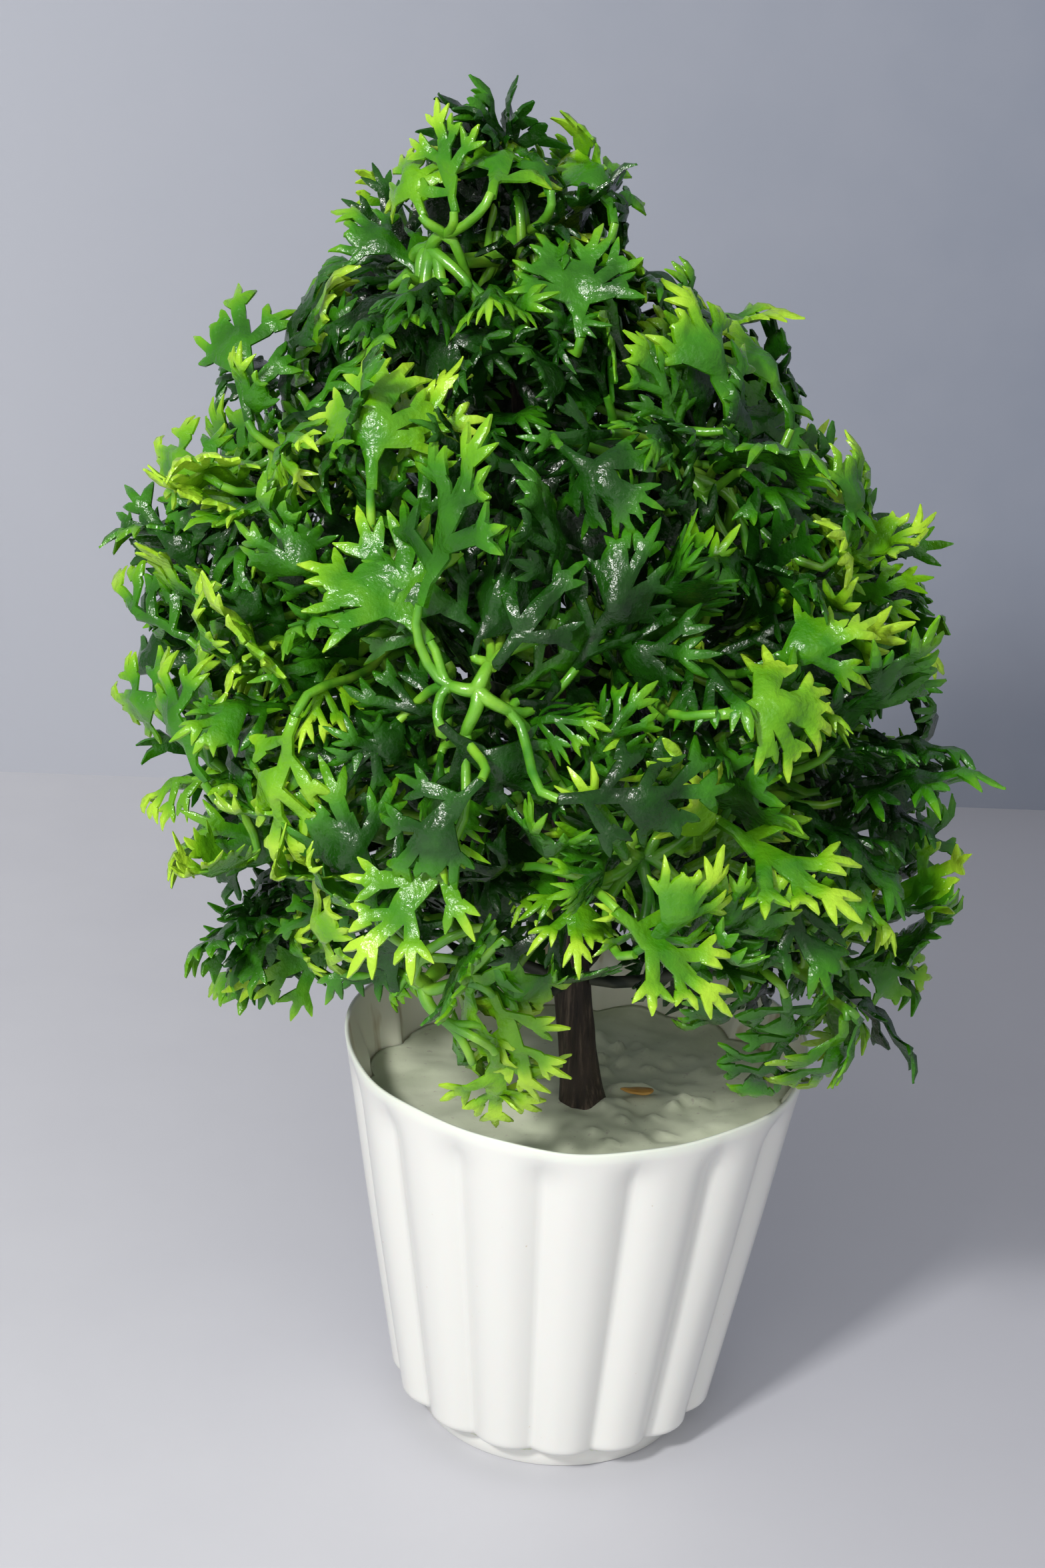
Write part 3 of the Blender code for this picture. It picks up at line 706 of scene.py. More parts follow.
def leaf_sheet(plan, draw):
    """Points, triangles and ribs of a flat leaf that runs from 0 to about 1 along X."""
    web = WEBS[plan]
    outlines = [[Vector((x, -half)) for x, half in web] + [Vector((x, half)) for x, half in reversed(web)]]
    ribs = [(Vector((0.0, 0.0)), Vector((0.80, 0.0)))]
    for place, degrees, length, width, teeth in plan(draw):
        more, veins = lobe(Vector((place, 0.0)), math.radians(degrees), length, width, teeth, draw)
        outlines += more
        ribs += veins
    points, edges = [], []
    for outline in outlines:
        base = len(points)
        points += outline
        edges += [(base + i, base + (i + 1) % len(outline)) for i in range(len(outline))]
    inside, _, faces, *_ = geometry.delaunay_2d_cdt(points, edges, [], KEEP_INSIDE, 0.5 * NEAR)
    solid = [tuple(inside[i] for i in face) for face in faces]
    rim = rim_edges(faces)
    number = {old: new for new, old in enumerate(sorted({end for edge in rim for end in edge}))}
    points = [inside[old] for old in number]
    edges = [(number[a], number[b]) for a, b in rim]
    for first, last in ribs:
        count = max(2, round((last - first).length / RIB_STEP) + 1)
        base = len(points)
        points += [first.lerp(last, i / (count - 1)) for i in range(count)]
        edges += [(base + i, base + i + 1) for i in range(count - 1)]
    flat, _, faces, *_ = geometry.delaunay_2d_cdt(points, edges, [], KEEP_INSIDE, NEAR)
    middles = [sum((flat[i] for i in face), Vector((0.0, 0.0))) / 3.0 for face in faces]
    return flat, [face for face, middle in zip(faces, middles) if covered(middle, solid)], ribs


def rib_distance(point, ribs):
    best = 1.0
    for first, last in ribs:
        along = last - first
        t = min(max((point - first).dot(along) / along.length_squared, 0.0), 1.0)
        best = min(best, (point - first - along * t).length)
    return best


# %% From sheet to leaf
LEAF_EDGE = 0.0085      # half the wall at the edge
LEAF_RIB = 0.026        # rise of a rib over the sheet
RIB_WIDTH = 0.026
WAVE = 0.026            # height of the sheet's waves
MIDRIB_BEND = 0.04      # radius of the fold at the midrib
LEAF_MIDDLE = Vector((0.42, 0.0))


def bend_leaf(point, fold, droop, curl, twist):
    """Fold the sides down from the midrib, curl the rim, twist, then droop along the length."""
    x, y, z = point
    around = math.sqrt(y * y + MIDRIB_BEND ** 2) - MIDRIB_BEND
    z -= fold * around + curl * ((x - LEAF_MIDDLE.x) ** 2 * 0.55 + y * y) * 1.4
    z += WAVE * math.sin(15.0 * x + 9.0 * abs(y))
    y *= 1.0 - 0.28 * fold
    angle = twist * (x - 0.3)
    y, z = y * math.cos(angle) - z * math.sin(angle), y * math.sin(angle) + z * math.cos(angle)
    turn = droop * x
    along = math.sin(turn) / droop
    drop = (1.0 - math.cos(turn)) / droop
    return Vector((along + z * math.sin(turn), y, z * math.cos(turn) - drop))


def sharpen_rim(mesh, rim, count):
    """Keep the shading from running round the thin edge, where it would make the sheet look swollen."""
    sharp = mesh.attributes.new("sharp_edge", "BOOLEAN", "EDGE")
    for number, edge in enumerate(mesh.edges):
        first, last = edge.vertices
        sharp.data[number].value = frozenset((first % count, last % count)) in rim


def make_leaf(name, plan, seed, fold, droop, curl, twist, material):
    """A closed thin leaf one unit long, with its base at the origin and its face up."""
    draw = random.Random(seed)
    flat, faces, ribs = leaf_sheet(plan, draw)
    top, bottom, tips = [], [], []
    for point in flat:
        rise = LEAF_RIB * math.exp(-(rib_distance(point, ribs) / RIB_WIDTH) ** 2)
        neck = 1.0 + 0.9 * (1.0 - smoothstep(0.02, 0.22, point.x))
        top.append(bend_leaf((point.x, point.y, LEAF_EDGE * neck + rise), fold, droop, curl, twist))
        bottom.append(bend_leaf((point.x, point.y, -LEAF_EDGE * neck - 0.3 * rise), fold, droop, curl, twist))
        from_middle = (point - LEAF_MIDDLE).length
        tips.append(smoothstep(0.24, 0.60, from_middle) * smoothstep(0.1, 0.35, point.x))
    count = len(flat)
    solid = [tuple(face) for face in faces] + [tuple(count + i for i in reversed(face)) for face in faces]
    solid += [(b, a, count + a, count + b) for a, b in rim_edges(faces)]
    mesh = bpy.data.meshes.new(name)
    mesh.from_pydata(top + bottom, [], solid)
    mesh.shade_smooth()
    sharpen_rim(mesh, {frozenset(edge) for edge in rim_edges(faces)}, count)
    mesh.materials.append(material)
    tip = mesh.attributes.new("tip", "FLOAT", "POINT")
    tip.data.foreach_set("value", tips + tips)
    part = mesh.attributes.new("leaf_part", "BOOLEAN", "POINT")
    part.data.foreach_set("value", [True] * (2 * count))
    leaf = bpy.data.objects.new(name, mesh)
    leaf.hide_render = True
    return leaf


# %% [markdown]
# ## Leaf plastic
# The plastic is dyed deep green and the finger tips are sprayed lime, some leaves much more than others.  Every leaf
# mesh holds an attribute `tip` that grows towards its fingers, and every copy gets a number `leaf_tint`, so one
# finish gives all of them.  That number also holds painted light: it grows towards the crown's outside and in patches,
# those at the front-left standing for where the key lamp's light falls, and it shrinks deep inside, where shade falls.
# The surface is glossy but was moulded in a rough tool, which breaks the highlights up.

# %% Leaf and stem finishes
DEEP = (0.002, 0.014, 0.001)
GREEN = (0.008, 0.058, 0.002)
FRESH = (0.036, 0.180, 0.004)
YOUNG = (0.130, 0.34, 0.006)
LIME = (0.34, 0.56, 0.03)
GLOW = {"Subsurface_Scale": 0.0012, "Subsurface_Radius": (0.5, 1.0, 0.2)}     # light that passes through thin plastic


def leaf_finish():
    finish = Finish("leaf_plastic", 0.28, Specular_IOR_Level=0.45, Subsurface_Weight=0.10, **GLOW)
    place = finish.coordinates()
    tip = finish.attribute("tip")
    # Each copy's number holds its sprayed lime and painted light: more towards the crown's outside and in the
    # front-left patches, less deep inside, where shade falls.
    tint = finish.attribute("leaf_tint")
    patch = finish.math("MULTIPLY", finish.math("SUBTRACT", finish.cloud(place, 95.0, 2.0), 0.5), 0.55)
    spray = finish.math("MULTIPLY", tip, finish.math("ADD", finish.math("MULTIPLY", tint, 0.50), 0.20))
    lime = finish.math("ADD", finish.math("ADD", finish.math("MULTIPLY", tint, 0.88), spray), patch)
    greens = [(0.0, DEEP), (0.25, GREEN), (0.5, FRESH), (0.74, YOUNG), (1.0, LIME)]
    finish.set("Base Color", finish.ramp(lime, greens))
    grain = finish.math("ADD", finish.cloud(place, 900.0, 3.0, 0.6),
                        finish.math("MULTIPLY", finish.cloud(place, 310.0, 2.0), 2.2))
    finish.set("Roughness", finish.steps(finish.cloud(place, 300.0, 2.0), 0.3, 0.7, 0.12, 0.28))
    finish.bump(grain, 0.45, 0.0006)
    return finish.material


def stem_finish():
    finish = Finish("stem_plastic", 0.24, Specular_IOR_Level=0.65, Subsurface_Weight=0.08, **GLOW)
    place = finish.coordinates()
    tone = finish.cloud(place, 110.0, 2.0)
    finish.set("Base Color", finish.ramp(tone, [(0.32, (0.035, 0.18, 0.008)), (0.5, (0.10, 0.31, 0.016)),
                                                (0.68, (0.22, 0.46, 0.03))]))
    finish.bump(finish.cloud(place, 800.0, 3.0, 0.6), 0.3, 0.0005)
    return finish.material


def wire_finish():
    """Green-black paper tape wound round the wire."""
    finish = Finish("wrapped_wire", 0.6)
    place = finish.coordinates()
    turns = {"Scale": 90.0, "Distortion": 5.0, "Detail": 2.0}
    wound = finish.add("TexWave", links={"Vector": place}, inputs=turns, bands_direction="DIAGONAL").outputs["Fac"]
    finish.set("Base Color", finish.ramp(wound, [(0.2, (0.012, 0.018, 0.012)), (0.8, (0.045, 0.05, 0.035))]))
    finish.bump(wound, 0.6, 0.0004)
    return finish.material


LEAF = leaf_finish()
STEM = stem_finish()
WIRE = wire_finish()
print("finishes:", [material.name for material in (BARK, LEAF, STEM, WIRE)])

# %% Twelve leaves
LEAF_KINDS = (      # plan, seed, fold, droop, curl, twist
    (feather_plan, 11, 0.30, 0.45, 0.15, 0.2),
    (feather_plan, 12, 0.65, 0.60, 0.20, -0.3),
    (feather_plan, 13, 0.12, 0.30, 0.30, 0.5),
    (feather_plan, 14, 0.45, 0.85, 0.10, -0.1),
    (feather_plan, 15, 0.95, 0.35, 0.10, 0.3),
    (antler_plan, 21, 0.20, 0.40, 0.30, 0.3),
    (antler_plan, 22, 0.40, 0.70, 0.15, -0.4),
    (antler_plan, 23, -0.15, -0.35, 0.25, 0.1),
    (fan_plan, 31, 0.25, 0.45, 0.45, 0.1),
    (fan_plan, 32, -0.30, 0.30, 0.20, -0.2),
    (trident_plan, 41, 0.30, 0.60, 0.30, 0.2),
    (trident_plan, 42, 0.10, 0.70, 0.20, -0.3),
)
FEATHERS, ANTLERS, FANS, TRIDENTS = (0, 1, 2, 3, 4), (5, 6, 7), (8, 9), (10, 11)
leaves = bpy.data.collections.new("leaves")
for number, (plan, *shape) in enumerate(LEAF_KINDS):
    leaves.objects.link(make_leaf("leaf_{:02d}".format(number), plan, *shape, LEAF))

# %% [markdown]
# ## Leaves and stems on a skeleton
# A spray is a branching stem with a leaf at each end.  The branching is worked out as a skeleton: edges for the
# stems, and single points for the leaves with the kind, turn, size and tint of each as attributes.  Geometry Nodes
# then clothe the skeleton, because one tree serves all 39 sprays and every wire: edges become tubes, and each point
# gets its leaf.

# %% The clothing tree

def clothing_tree():
    tree = bpy.data.node_groups.new("clothe_skeleton", "GeometryNodeTree")
    face = tree.interface
    for name, kind in (("Skeleton", "NodeSocketGeometry"), ("Leaves", "NodeSocketCollection"),
                       ("Stem Sides", "NodeSocketInt"), ("Stem Thickness", "NodeSocketFloat"),
                       ("Leaf Finish", "NodeSocketMaterial"), ("Stem Finish", "NodeSocketMaterial")):
        face.new_socket(name, in_out="INPUT", socket_type=kind)
    face.new_socket("Spray", in_out="OUTPUT", socket_type="NodeSocketGeometry")

    def add(kind, **links):
        node = tree.nodes.new(kind)
        for socket, source in links.items():
            tree.links.new(source, node.inputs[socket.replace("_", " ")])
        return node

    def named(name, kind):
        node = add("GeometryNodeInputNamedAttribute")
        node.data_type = kind
        node.inputs["Name"].default_value = name
        return node.outputs["Attribute"]

    start = add("NodeGroupInput").outputs
    route = add("GeometryNodeMeshToCurve", Mesh=start["Skeleton"])
    section = add("GeometryNodeCurvePrimitiveCircle", Resolution=start["Stem Sides"], Radius=start["Stem Thickness"])
    tube = add("GeometryNodeCurveToMesh", Curve=route.outputs["Curve"], Profile_Curve=section.outputs["Curve"],
               Scale=named("twig_radius", "FLOAT"))
    tube.inputs["Fill Caps"].default_value = True
    smooth = add("GeometryNodeSetShadeSmooth", Geometry=tube.outputs["Mesh"])
    stems = add("GeometryNodeSetMaterial", Geometry=smooth.outputs["Geometry"], Material=start["Stem Finish"])
    kinds = add("GeometryNodeCollectionInfo", Collection=start["Leaves"])
    kinds.inputs["Separate Children"].default_value = True
    kinds.inputs["Reset Children"].default_value = True
    copies = add("GeometryNodeInstanceOnPoints", Points=start["Skeleton"], Selection=named("has_leaf", "BOOLEAN"),
                 Instance=kinds.outputs["Instances"], Instance_Index=named("leaf_kind", "INT"),
                 Rotation=named("leaf_turn", "FLOAT_VECTOR"), Scale=named("leaf_size", "FLOAT"))
    copies.inputs["Pick Instance"].default_value = True
    both = add("GeometryNodeJoinGeometry", Geometry=stems.outputs["Geometry"])
    tree.links.new(copies.outputs["Instances"], both.inputs["Geometry"])
    real = add("GeometryNodeRealizeInstances", Geometry=both.outputs["Geometry"])
    done = add("GeometryNodeSetMaterial", Geometry=real.outputs["Geometry"], Selection=named("leaf_part", "BOOLEAN"),
               Material=start["Leaf Finish"])
    tree.links.new(done.outputs["Geometry"], add("NodeGroupOutput").inputs["Spray"])
    return tree


CLOTHE = clothing_tree()


# %% Skeletons

class Skeleton:
    """Stem routes and leaf places, in metres, in the model's frame."""

    def __init__(self):
        self.points, self.edges, self.radius = [], [], []
        self.places, self.turns, self.sizes, self.kinds, self.tints = [], [], [], [], []

    def stem(self, route, thick, thin):
        base = len(self.points)
        self.points += route
        self.edges += [(base + i, base + i + 1) for i in range(len(route) - 1)]
        self.radius += [thick + (thin - thick) * i / (len(route) - 1) for i in range(len(route))]

    def leaf(self, place, direction, normal, size, kind, tint):
        along = direction.normalized()
        across = normal.cross(along).normalized()
        turn = Matrix((along, across, along.cross(across))).transposed()
        self.places.append(place)
        self.turns.append(turn.to_euler())
        self.sizes.append(size)
        self.kinds.append(kind)
        self.tints.append(tint)

    def clothe(self, name, stem_material, sides):
        """The finished piece: a plain mesh with its place in its points."""
        mesh = bpy.data.meshes.new(name + "_skeleton")
        mesh.from_pydata([tuple(p) for p in self.points + self.places], self.edges, [])
        stems = len(self.points)
        values = (("twig_radius", "FLOAT", self.radius + [0.0] * len(self.places), "value"),
                  ("has_leaf", "BOOLEAN", [False] * stems + [True] * len(self.places), "value"),
                  ("leaf_kind", "INT", [0] * stems + self.kinds, "value"),
                  ("leaf_size", "FLOAT", [0.0] * stems + self.sizes, "value"),
                  ("leaf_tint", "FLOAT", [0.0] * stems + self.tints, "value"),
                  ("leaf_turn", "FLOAT_VECTOR", [0.0] * (3 * stems) + [a for turn in self.turns for a in turn],
                   "vector"))
        for attribute, kind, data, field in values:
            mesh.attributes.new(attribute, kind, "POINT").data.foreach_set(field, data)
        bones = bpy.data.objects.new(name + "_skeleton", mesh)
        bpy.context.scene.collection.objects.link(bones)
        clothes = bones.modifiers.new("clothes", "NODES")
        clothes.node_group = CLOTHE
        chosen = {"Leaves": leaves, "Stem Sides": sides, "Stem Thickness": 1.0, "Leaf Finish": LEAF,
                  "Stem Finish": stem_material}
        for item in CLOTHE.interface.items_tree:
            if item.in_out == "INPUT" and item.name in chosen:
                clothes[item.identifier] = chosen[item.name]
        bpy.context.view_layer.update()
        graph = bpy.context.evaluated_depsgraph_get()
        plain = bpy.data.meshes.new_from_object(bones.evaluated_get(graph))
        bpy.data.objects.remove(bones, do_unlink=True)
        plain.name = name
        return add_piece(name, plain, smooth=False)


def bend(start, leaving, end, arriving, count):
    """Points along a smooth bend between two places with a direction at each."""
    pull = (end - start).length / 3.0
    near, far = start + leaving * pull, end - arriving * pull
    route = []
    for i in range(count):
        t = i / (count - 1)
        s = 1.0 - t
        route.append(start * s ** 3 + near * (3 * s * s * t) + far * (3 * s * t * t) + end * t ** 3)
    return route


# %% [markdown]
# ## The shape of the crown
# The crown is an egg: widest a little below its middle, pointed at the top, with a ragged outline, and cut higher at
# the front, where the plaster shows.  A short table of radii gives that outline.  A leaf that would reach too far is
# moved and turned inwards instead of being cut short, as a person does who shapes the tree by hand.

# %% Crown
CROWN = ((98.0, 66.0), (112.0, 82.0), (145.0, 89.0), (175.0, 93.0), (200.0, 94.0), (233.0, 80.0), (258.0, 68.0),
         (270.0, 52.0), (284.0, 38.0), (300.0, 28.0), (317.0, 6.0))     # height above the table and radius, in mm
CROWN_TOP = 316.0 * MM
# Lime patches are partly real sprayed leaves and partly painted light: those at the front-left, towards the key lamp,
# brighten the crown where its light falls.
LIME_AND_LIGHT_PATCHES = (     # direction seen from above in degrees (270 is the front), height, how much lime
    (225.0, 170.0, 0.35), (200.0, 190.0, 0.25), (215.0, 235.0, 0.25), (235.0, 205.0, 0.15), (250.0, 140.0, 0.3),
    (338.0, 255.0, 0.2), (290.0, 150.0, 0.15), (20.0, 300.0, 0.4), (90.0, 200.0, 0.4), (60.0, 130.0, 0.4),
    (140.0, 230.0, 0.4), (110.0, 120.0, 0.4))


def crown_radius(height):
    """Radius of the crown at a height, straight between the table's rows."""
    mm = min(max(height / MM, CROWN[0][0]), CROWN[-1][0])
    for (low, small), (high, large) in zip(CROWN, CROWN[1:]):
        if mm <= high:
            return (small + (large - small) * (mm - low) / (high - low)) * MM
    return CROWN[-1][1] * MM


def crown_place(direction, height, depth):
    """A place at a direction seen from above, a height and a depth under the crown's outline."""
    reach = max(crown_radius(height) - depth, 2.0 * MM)
    return trunk_at(height) + Vector((math.cos(direction), math.sin(direction), 0.0)) * reach


# %% The crown's ragged outline and its edges
RAGGED_BY = 17.0 * MM
RAGGED_SIZE = 23.0 * MM
FRONT_EDGE = 104.0 * MM
FRONT_RISE = 0.52                # how fast the lower edge rises towards the front
SIDE_EDGE = 96.0 * MM
OVER_POT = 100.0 * MM
CEILING_FALL = 0.38              # how fast the top falls towards the back


def ragged(place):
    """How far the outline stands out or in at a place, by soft noise."""
    return RAGGED_BY * noise.noise(place / RAGGED_SIZE + Vector((5.0, 2.0, 9.0)))


def lowest(place, hanging):
    """The crown's lower edge: raised at the front, and over the pot so high that a branch can be bent down."""
    reach = math.hypot(place.x, place.y)
    if hanging:
        return FRONT_EDGE
    over_pot = OVER_POT + 0.25 * reach if reach < RIM_RADIUS + 9.0 * MM else SIDE_EDGE
    return max(over_pot, FRONT_EDGE + FRONT_RISE * max(-place.y, 0.0))


def sparse(place):
    """Where leaves are few: round the leader, and low at the front, where the plaster shows."""
    return place.z > 284.0 * MM or (place.z < 163.0 * MM and place.y < -30.0 * MM)


def tuck(place, margin, hanging=False):
    """Pull a point inside the crown's outline and keep it clear of the pot."""
    axis = trunk_at(place.z)
    out = place - axis
    limit = crown_radius(place.z) + ragged(place) + margin
    if out.length > limit:
        place = axis + out * (limit / out.length)
    ceiling = CROWN_TOP - CEILING_FALL * max(place.y, -10.0 * MM)
    return Vector((place.x, place.y, min(max(place.z, lowest(place, hanging)), ceiling)))


# %% Facing outwards, and tint
EGG_MIDDLE = 180.0 * MM          # height of the egg that the leaves face out from
EGG_WIDTH, EGG_HEIGHT = 85.0, 130.0
PATCH_WIDTH, PATCH_HEIGHT = 15.0, 17.0       # a lime patch, in degrees and in mm


def crown_normal(place):
    """Outwards from an upright egg round the trunk."""
    out = place - trunk_at(place.z)
    lift = (place.z - EGG_MIDDLE) / EGG_HEIGHT ** 2
    return Vector((out.x / EGG_WIDTH ** 2, out.y / EGG_WIDTH ** 2, lift)).normalized()


def lime_and_light_at(place, draw):
    """The lime of a leaf, partly painted light: more at the crown's outside, where light falls, less deep inside, where
    shade falls, more near the patches, and more on a few leaves anywhere.
    """
    out = place - trunk_at(place.z)
    direction = math.degrees(math.atan2(out.y, out.x)) % 360.0
    share = out.length / crown_radius(place.z)
    tint = 0.04 + 0.62 * draw.random() ** 2.3
    # Painted light and shade: leaves near the crown's outline get more lime, leaves deep inside get less.
    tint = tint + 0.16 * smoothstep(0.8, 1.0, share) - 0.16 * smoothstep(0.8, 0.5, share)
    for patch, height, strength in LIME_AND_LIGHT_PATCHES:
        turn = abs((direction - patch + 180.0) % 360.0 - 180.0)
        away = math.hypot(turn / PATCH_WIDTH, (place.z / MM - height) / PATCH_HEIGHT)
        tint += strength * math.exp(-away * away)
    return min(max(tint, 0.0), 1.0)


# %% [markdown]
# ## A place for every leaf
# Random twigs leave holes, so the leaves come first: rings of places at even distances cover the crown, in one layer
# under its outline and two deeper ones.  Leaves that catch the eye get their place, kind and turn one by one from a
# list.  Each leaf then belongs to the spray whose hub is nearest, and the spray grows its arms to the leaves it was
# given.

# %% Hubs
FACE_TILT = {"skirt": -14.0, "lower": 0.0, "middle": 12.0, "upper": 34.0, "leader": 52.0}
HUB_DEPTH = 25.0 * MM
OPEN_HUB = "middle_1_tip_spray"      # the hub that shows between its leaves
OPEN_HUB_DEPTH = 9.0 * MM


def spray_hub(node):
    """Where a spray's arms start, and the way it faces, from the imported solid's box."""
    low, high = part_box(node)
    middle = (low + high) * 0.5
    out = middle - trunk_at(middle.z)
    if node == "leader_tip_spray":
        return middle - TRUNK_UP * (HUB_DEPTH + 4.0 * MM), TRUNK_UP.copy()
    tilt = math.radians(FACE_TILT[node.split("_")[0]])
    forward = Vector((out.x, out.y, 0.0)).normalized() * math.cos(tilt) + UP * math.sin(tilt)
    depth = 0.6 * HUB_DEPTH if node.startswith("leader") else HUB_DEPTH
    depth = OPEN_HUB_DEPTH if node == OPEN_HUB else depth
    return middle - forward * depth, forward


HUBS = {node: spray_hub(node) for node in SPRAYS}
print("hubs stand", [round(hub.z / MM) for hub, forward in HUBS.values()], "mm high")


def nearest_spray(place):
    """The spray whose hub is nearest, where a place behind the hub counts as further away."""
    def effort(node):
        away = place - HUBS[node][0]
        return away.length * (1.3 - 0.3 * away.normalized().dot(HUBS[node][1]))
    return min(SPRAYS, key=effort)


# %% Leaf places
FREE_SIZES = (20.0, 33.0)        # shortest and longest free leaf, in mm
SMALL_LEAF = 22.5 * MM           # below this a leaf is one of the small kinds
SMALL_KINDS = TRIDENTS + FEATHERS[:2]
LARGE_KINDS = FEATHERS * 3 + ANTLERS * 3 + FANS + TRIDENTS
FEW = 0.42                       # share of the leaves that stay where the crown is sparse


class LeafPlace:
    """A leaf's base, the way it points, the way it faces, and its looks."""

    def __init__(self, centre, along, size, kind, tint, draw, proud=0.0, hanging=False):
        base = centre - along * (0.55 * size)
        tip = tuck(base + along * size, proud, hanging)
        self.along = (tip - tuck(base, -6.0 * MM, hanging)).normalized()
        self.base = tip - self.along * size
        self.normal = crown_normal(centre) + UP * 0.25 + Vector([draw.uniform(-0.55, 0.55) for _ in range(3)])
        if self.normal.cross(self.along).length < 0.25:
            self.normal += self.along.orthogonal() * 0.6
        self.size, self.kind, self.tint = size, kind, tint


def free_leaf(centre, draw):
    """A leaf that spreads from its hub, a little outwards, and upwards in the upper crown."""
    size = draw.uniform(*FREE_SIZES) * MM
    hub = HUBS[nearest_spray(centre)][0]
    rise = draw.uniform(-0.1, 0.7) if centre.z > 150.0 * MM else draw.uniform(-0.5, 0.3)
    along = (centre - hub).normalized() * 0.8 + crown_normal(centre) * draw.uniform(0.0, 0.7) + UP * rise
    along += Vector([draw.uniform(-0.45, 0.45) for _ in range(3)])
    kind = draw.choice(SMALL_KINDS if size < SMALL_LEAF else LARGE_KINDS)
    # This lime includes painted light from the leaf's place in the crown.
    tint = lime_and_light_at(centre, draw)
    return LeafPlace(centre, along.normalized(), size, kind, tint, draw, draw.uniform(-2.0, 7.0) * MM)


def ring_places(gap, shallow, deep, draw):
    """Centres at even distances over the crown, between two depths under its outline."""
    height = CROWN[0][0] * MM + 0.3 * gap
    while height < CROWN_TOP - 4.0 * MM:
        count = max(3, round(math.tau * max(crown_radius(height) - shallow, 4.0 * MM) / gap))
        spin = draw.uniform(0.0, math.tau)
        for number in range(count):
            direction = spin + math.tau * (number + draw.uniform(-0.3, 0.3)) / count
            level = height + draw.uniform(-0.35, 0.35) * gap
            place = crown_place(direction, level, draw.uniform(shallow, deep))
            if place.z > lowest(place, False) + 2.0 * MM and draw.random() < (FEW if sparse(place) else 1.0):
                yield place
        slope = (crown_radius(height + 4.0 * MM) - crown_radius(height - 4.0 * MM)) / (8.0 * MM)
        height += gap / math.hypot(1.0, slope)


# %% Leaves set one by one
SHOW_LEAVES = (      # direction, height, depth, kind, length, lean to the left, leaning out, lime
    (273, 306, 3, 5, 27, -8, 0.0, 0.75), (213, 299, 2, 8, 22, 55, 0.5, 0.85), (237, 302, 4, 7, 22, 30, 0.5, 0.65),
    (344, 303, 0, 6, 29, -38, 0.3, 0.60), (300, 304, 8, 10, 22, -10, 0.3, 0.50), (292, 284, 2, 9, 27, -5, 0.3, 0.52),
    (243, 260, 2, 8, 31, 12, 0.1, 0.78), (261, 243, 0, 7, 34, -20, 0.1, 0.48), (283, 250, 0, 8, 25, -130, 0.3, 0.30),
    (199, 262, 0, 5, 30, 30, 0.5, 0.50), (200, 240, -2, 6, 26, 80, 0.9, 0.75), (190, 202, -5, 1, 29, 85, 1.6, 0.60),
    (204, 190, -2, 6, 26, 100, 0.9, 0.65), (233, 183, 0, 0, 33, 172, 0.0, 0.92), (215, 192, 0, 5, 28, 40, 0.3, 0.60),
    (252, 168, 0, 7, 30, 150, 0.1, 0.80), (304, 211, -2, 8, 29, -85, 0.4, 0.85), (323, 270, 0, 5, 29, 5, 0.4, 0.65),
    (350, 264, -2, 6, 29, -35, 0.6, 0.62), (339, 240, -2, 5, 27, -50, 0.6, 0.62), (284, 196, 0, 0, 34, -85, 0.1, 0.20),
    (287, 170, 0, 5, 25, -40, 0.3, 0.72), (285, 157, 0, 7, 27, -140, 0.2, 0.85), (256, 185, 0, 5, 28, 140, 0.2, 0.35))
HANGING = (          # x, y, height, kind, length, lean to the left, lime
    (-26, -60, 128, 5, 28, 165, 0.70), (-14, -62, 126, 7, 26, -160, 0.75), (-20, -56, 116, 6, 27, 178, 0.85),
    (-12, -52, 113, 10, 22, -170, 0.70), (-27, -54, 115, 1, 25, 160, 0.55), (-18, -56, 110, 7, 26, 172, 0.80),
    (-24, -64, 140, 0, 29, 160, 0.50), (-14, -66, 138, 5, 27, -170, 0.60), (-22, -52, 107, 6, 23, 170, 0.85),
    (44, -56, 128, 0, 31, -150, 0.45), (56, -50, 117, 5, 30, -165, 0.60), (40, -50, 116, 2, 28, 175, 0.40),
    (62, -44, 124, 6, 28, -130, 0.55), (30, -58, 130, 3, 24, 160, 0.35))


# %% Giving the leaves to the sprays
LAYERS = ((13.8, 3.0, 15.0), (15.5, 17.0, 33.0), (19.0, 36.0, 56.0))     # distance between leaves, two depths
SHOWN_PROUD = 11.0 * MM          # how far a listed leaf may stand out of the crown
CROWN_SEED = 7


def show_leaf(centre, kind, size, lean, outwards, tint, draw, hanging=False):
    """A listed leaf; its lean is counted in the crown's surface, from upright to the onlooker's left."""
    out = crown_normal(centre)
    left = out.cross(UP).normalized()
    upright = left.cross(out)
    turn = math.radians(lean)
    along = (upright * math.cos(turn) + left * math.sin(turn) + out * outwards).normalized()
    return LeafPlace(centre, along, size * MM, kind, tint, draw, SHOWN_PROUD, hanging)


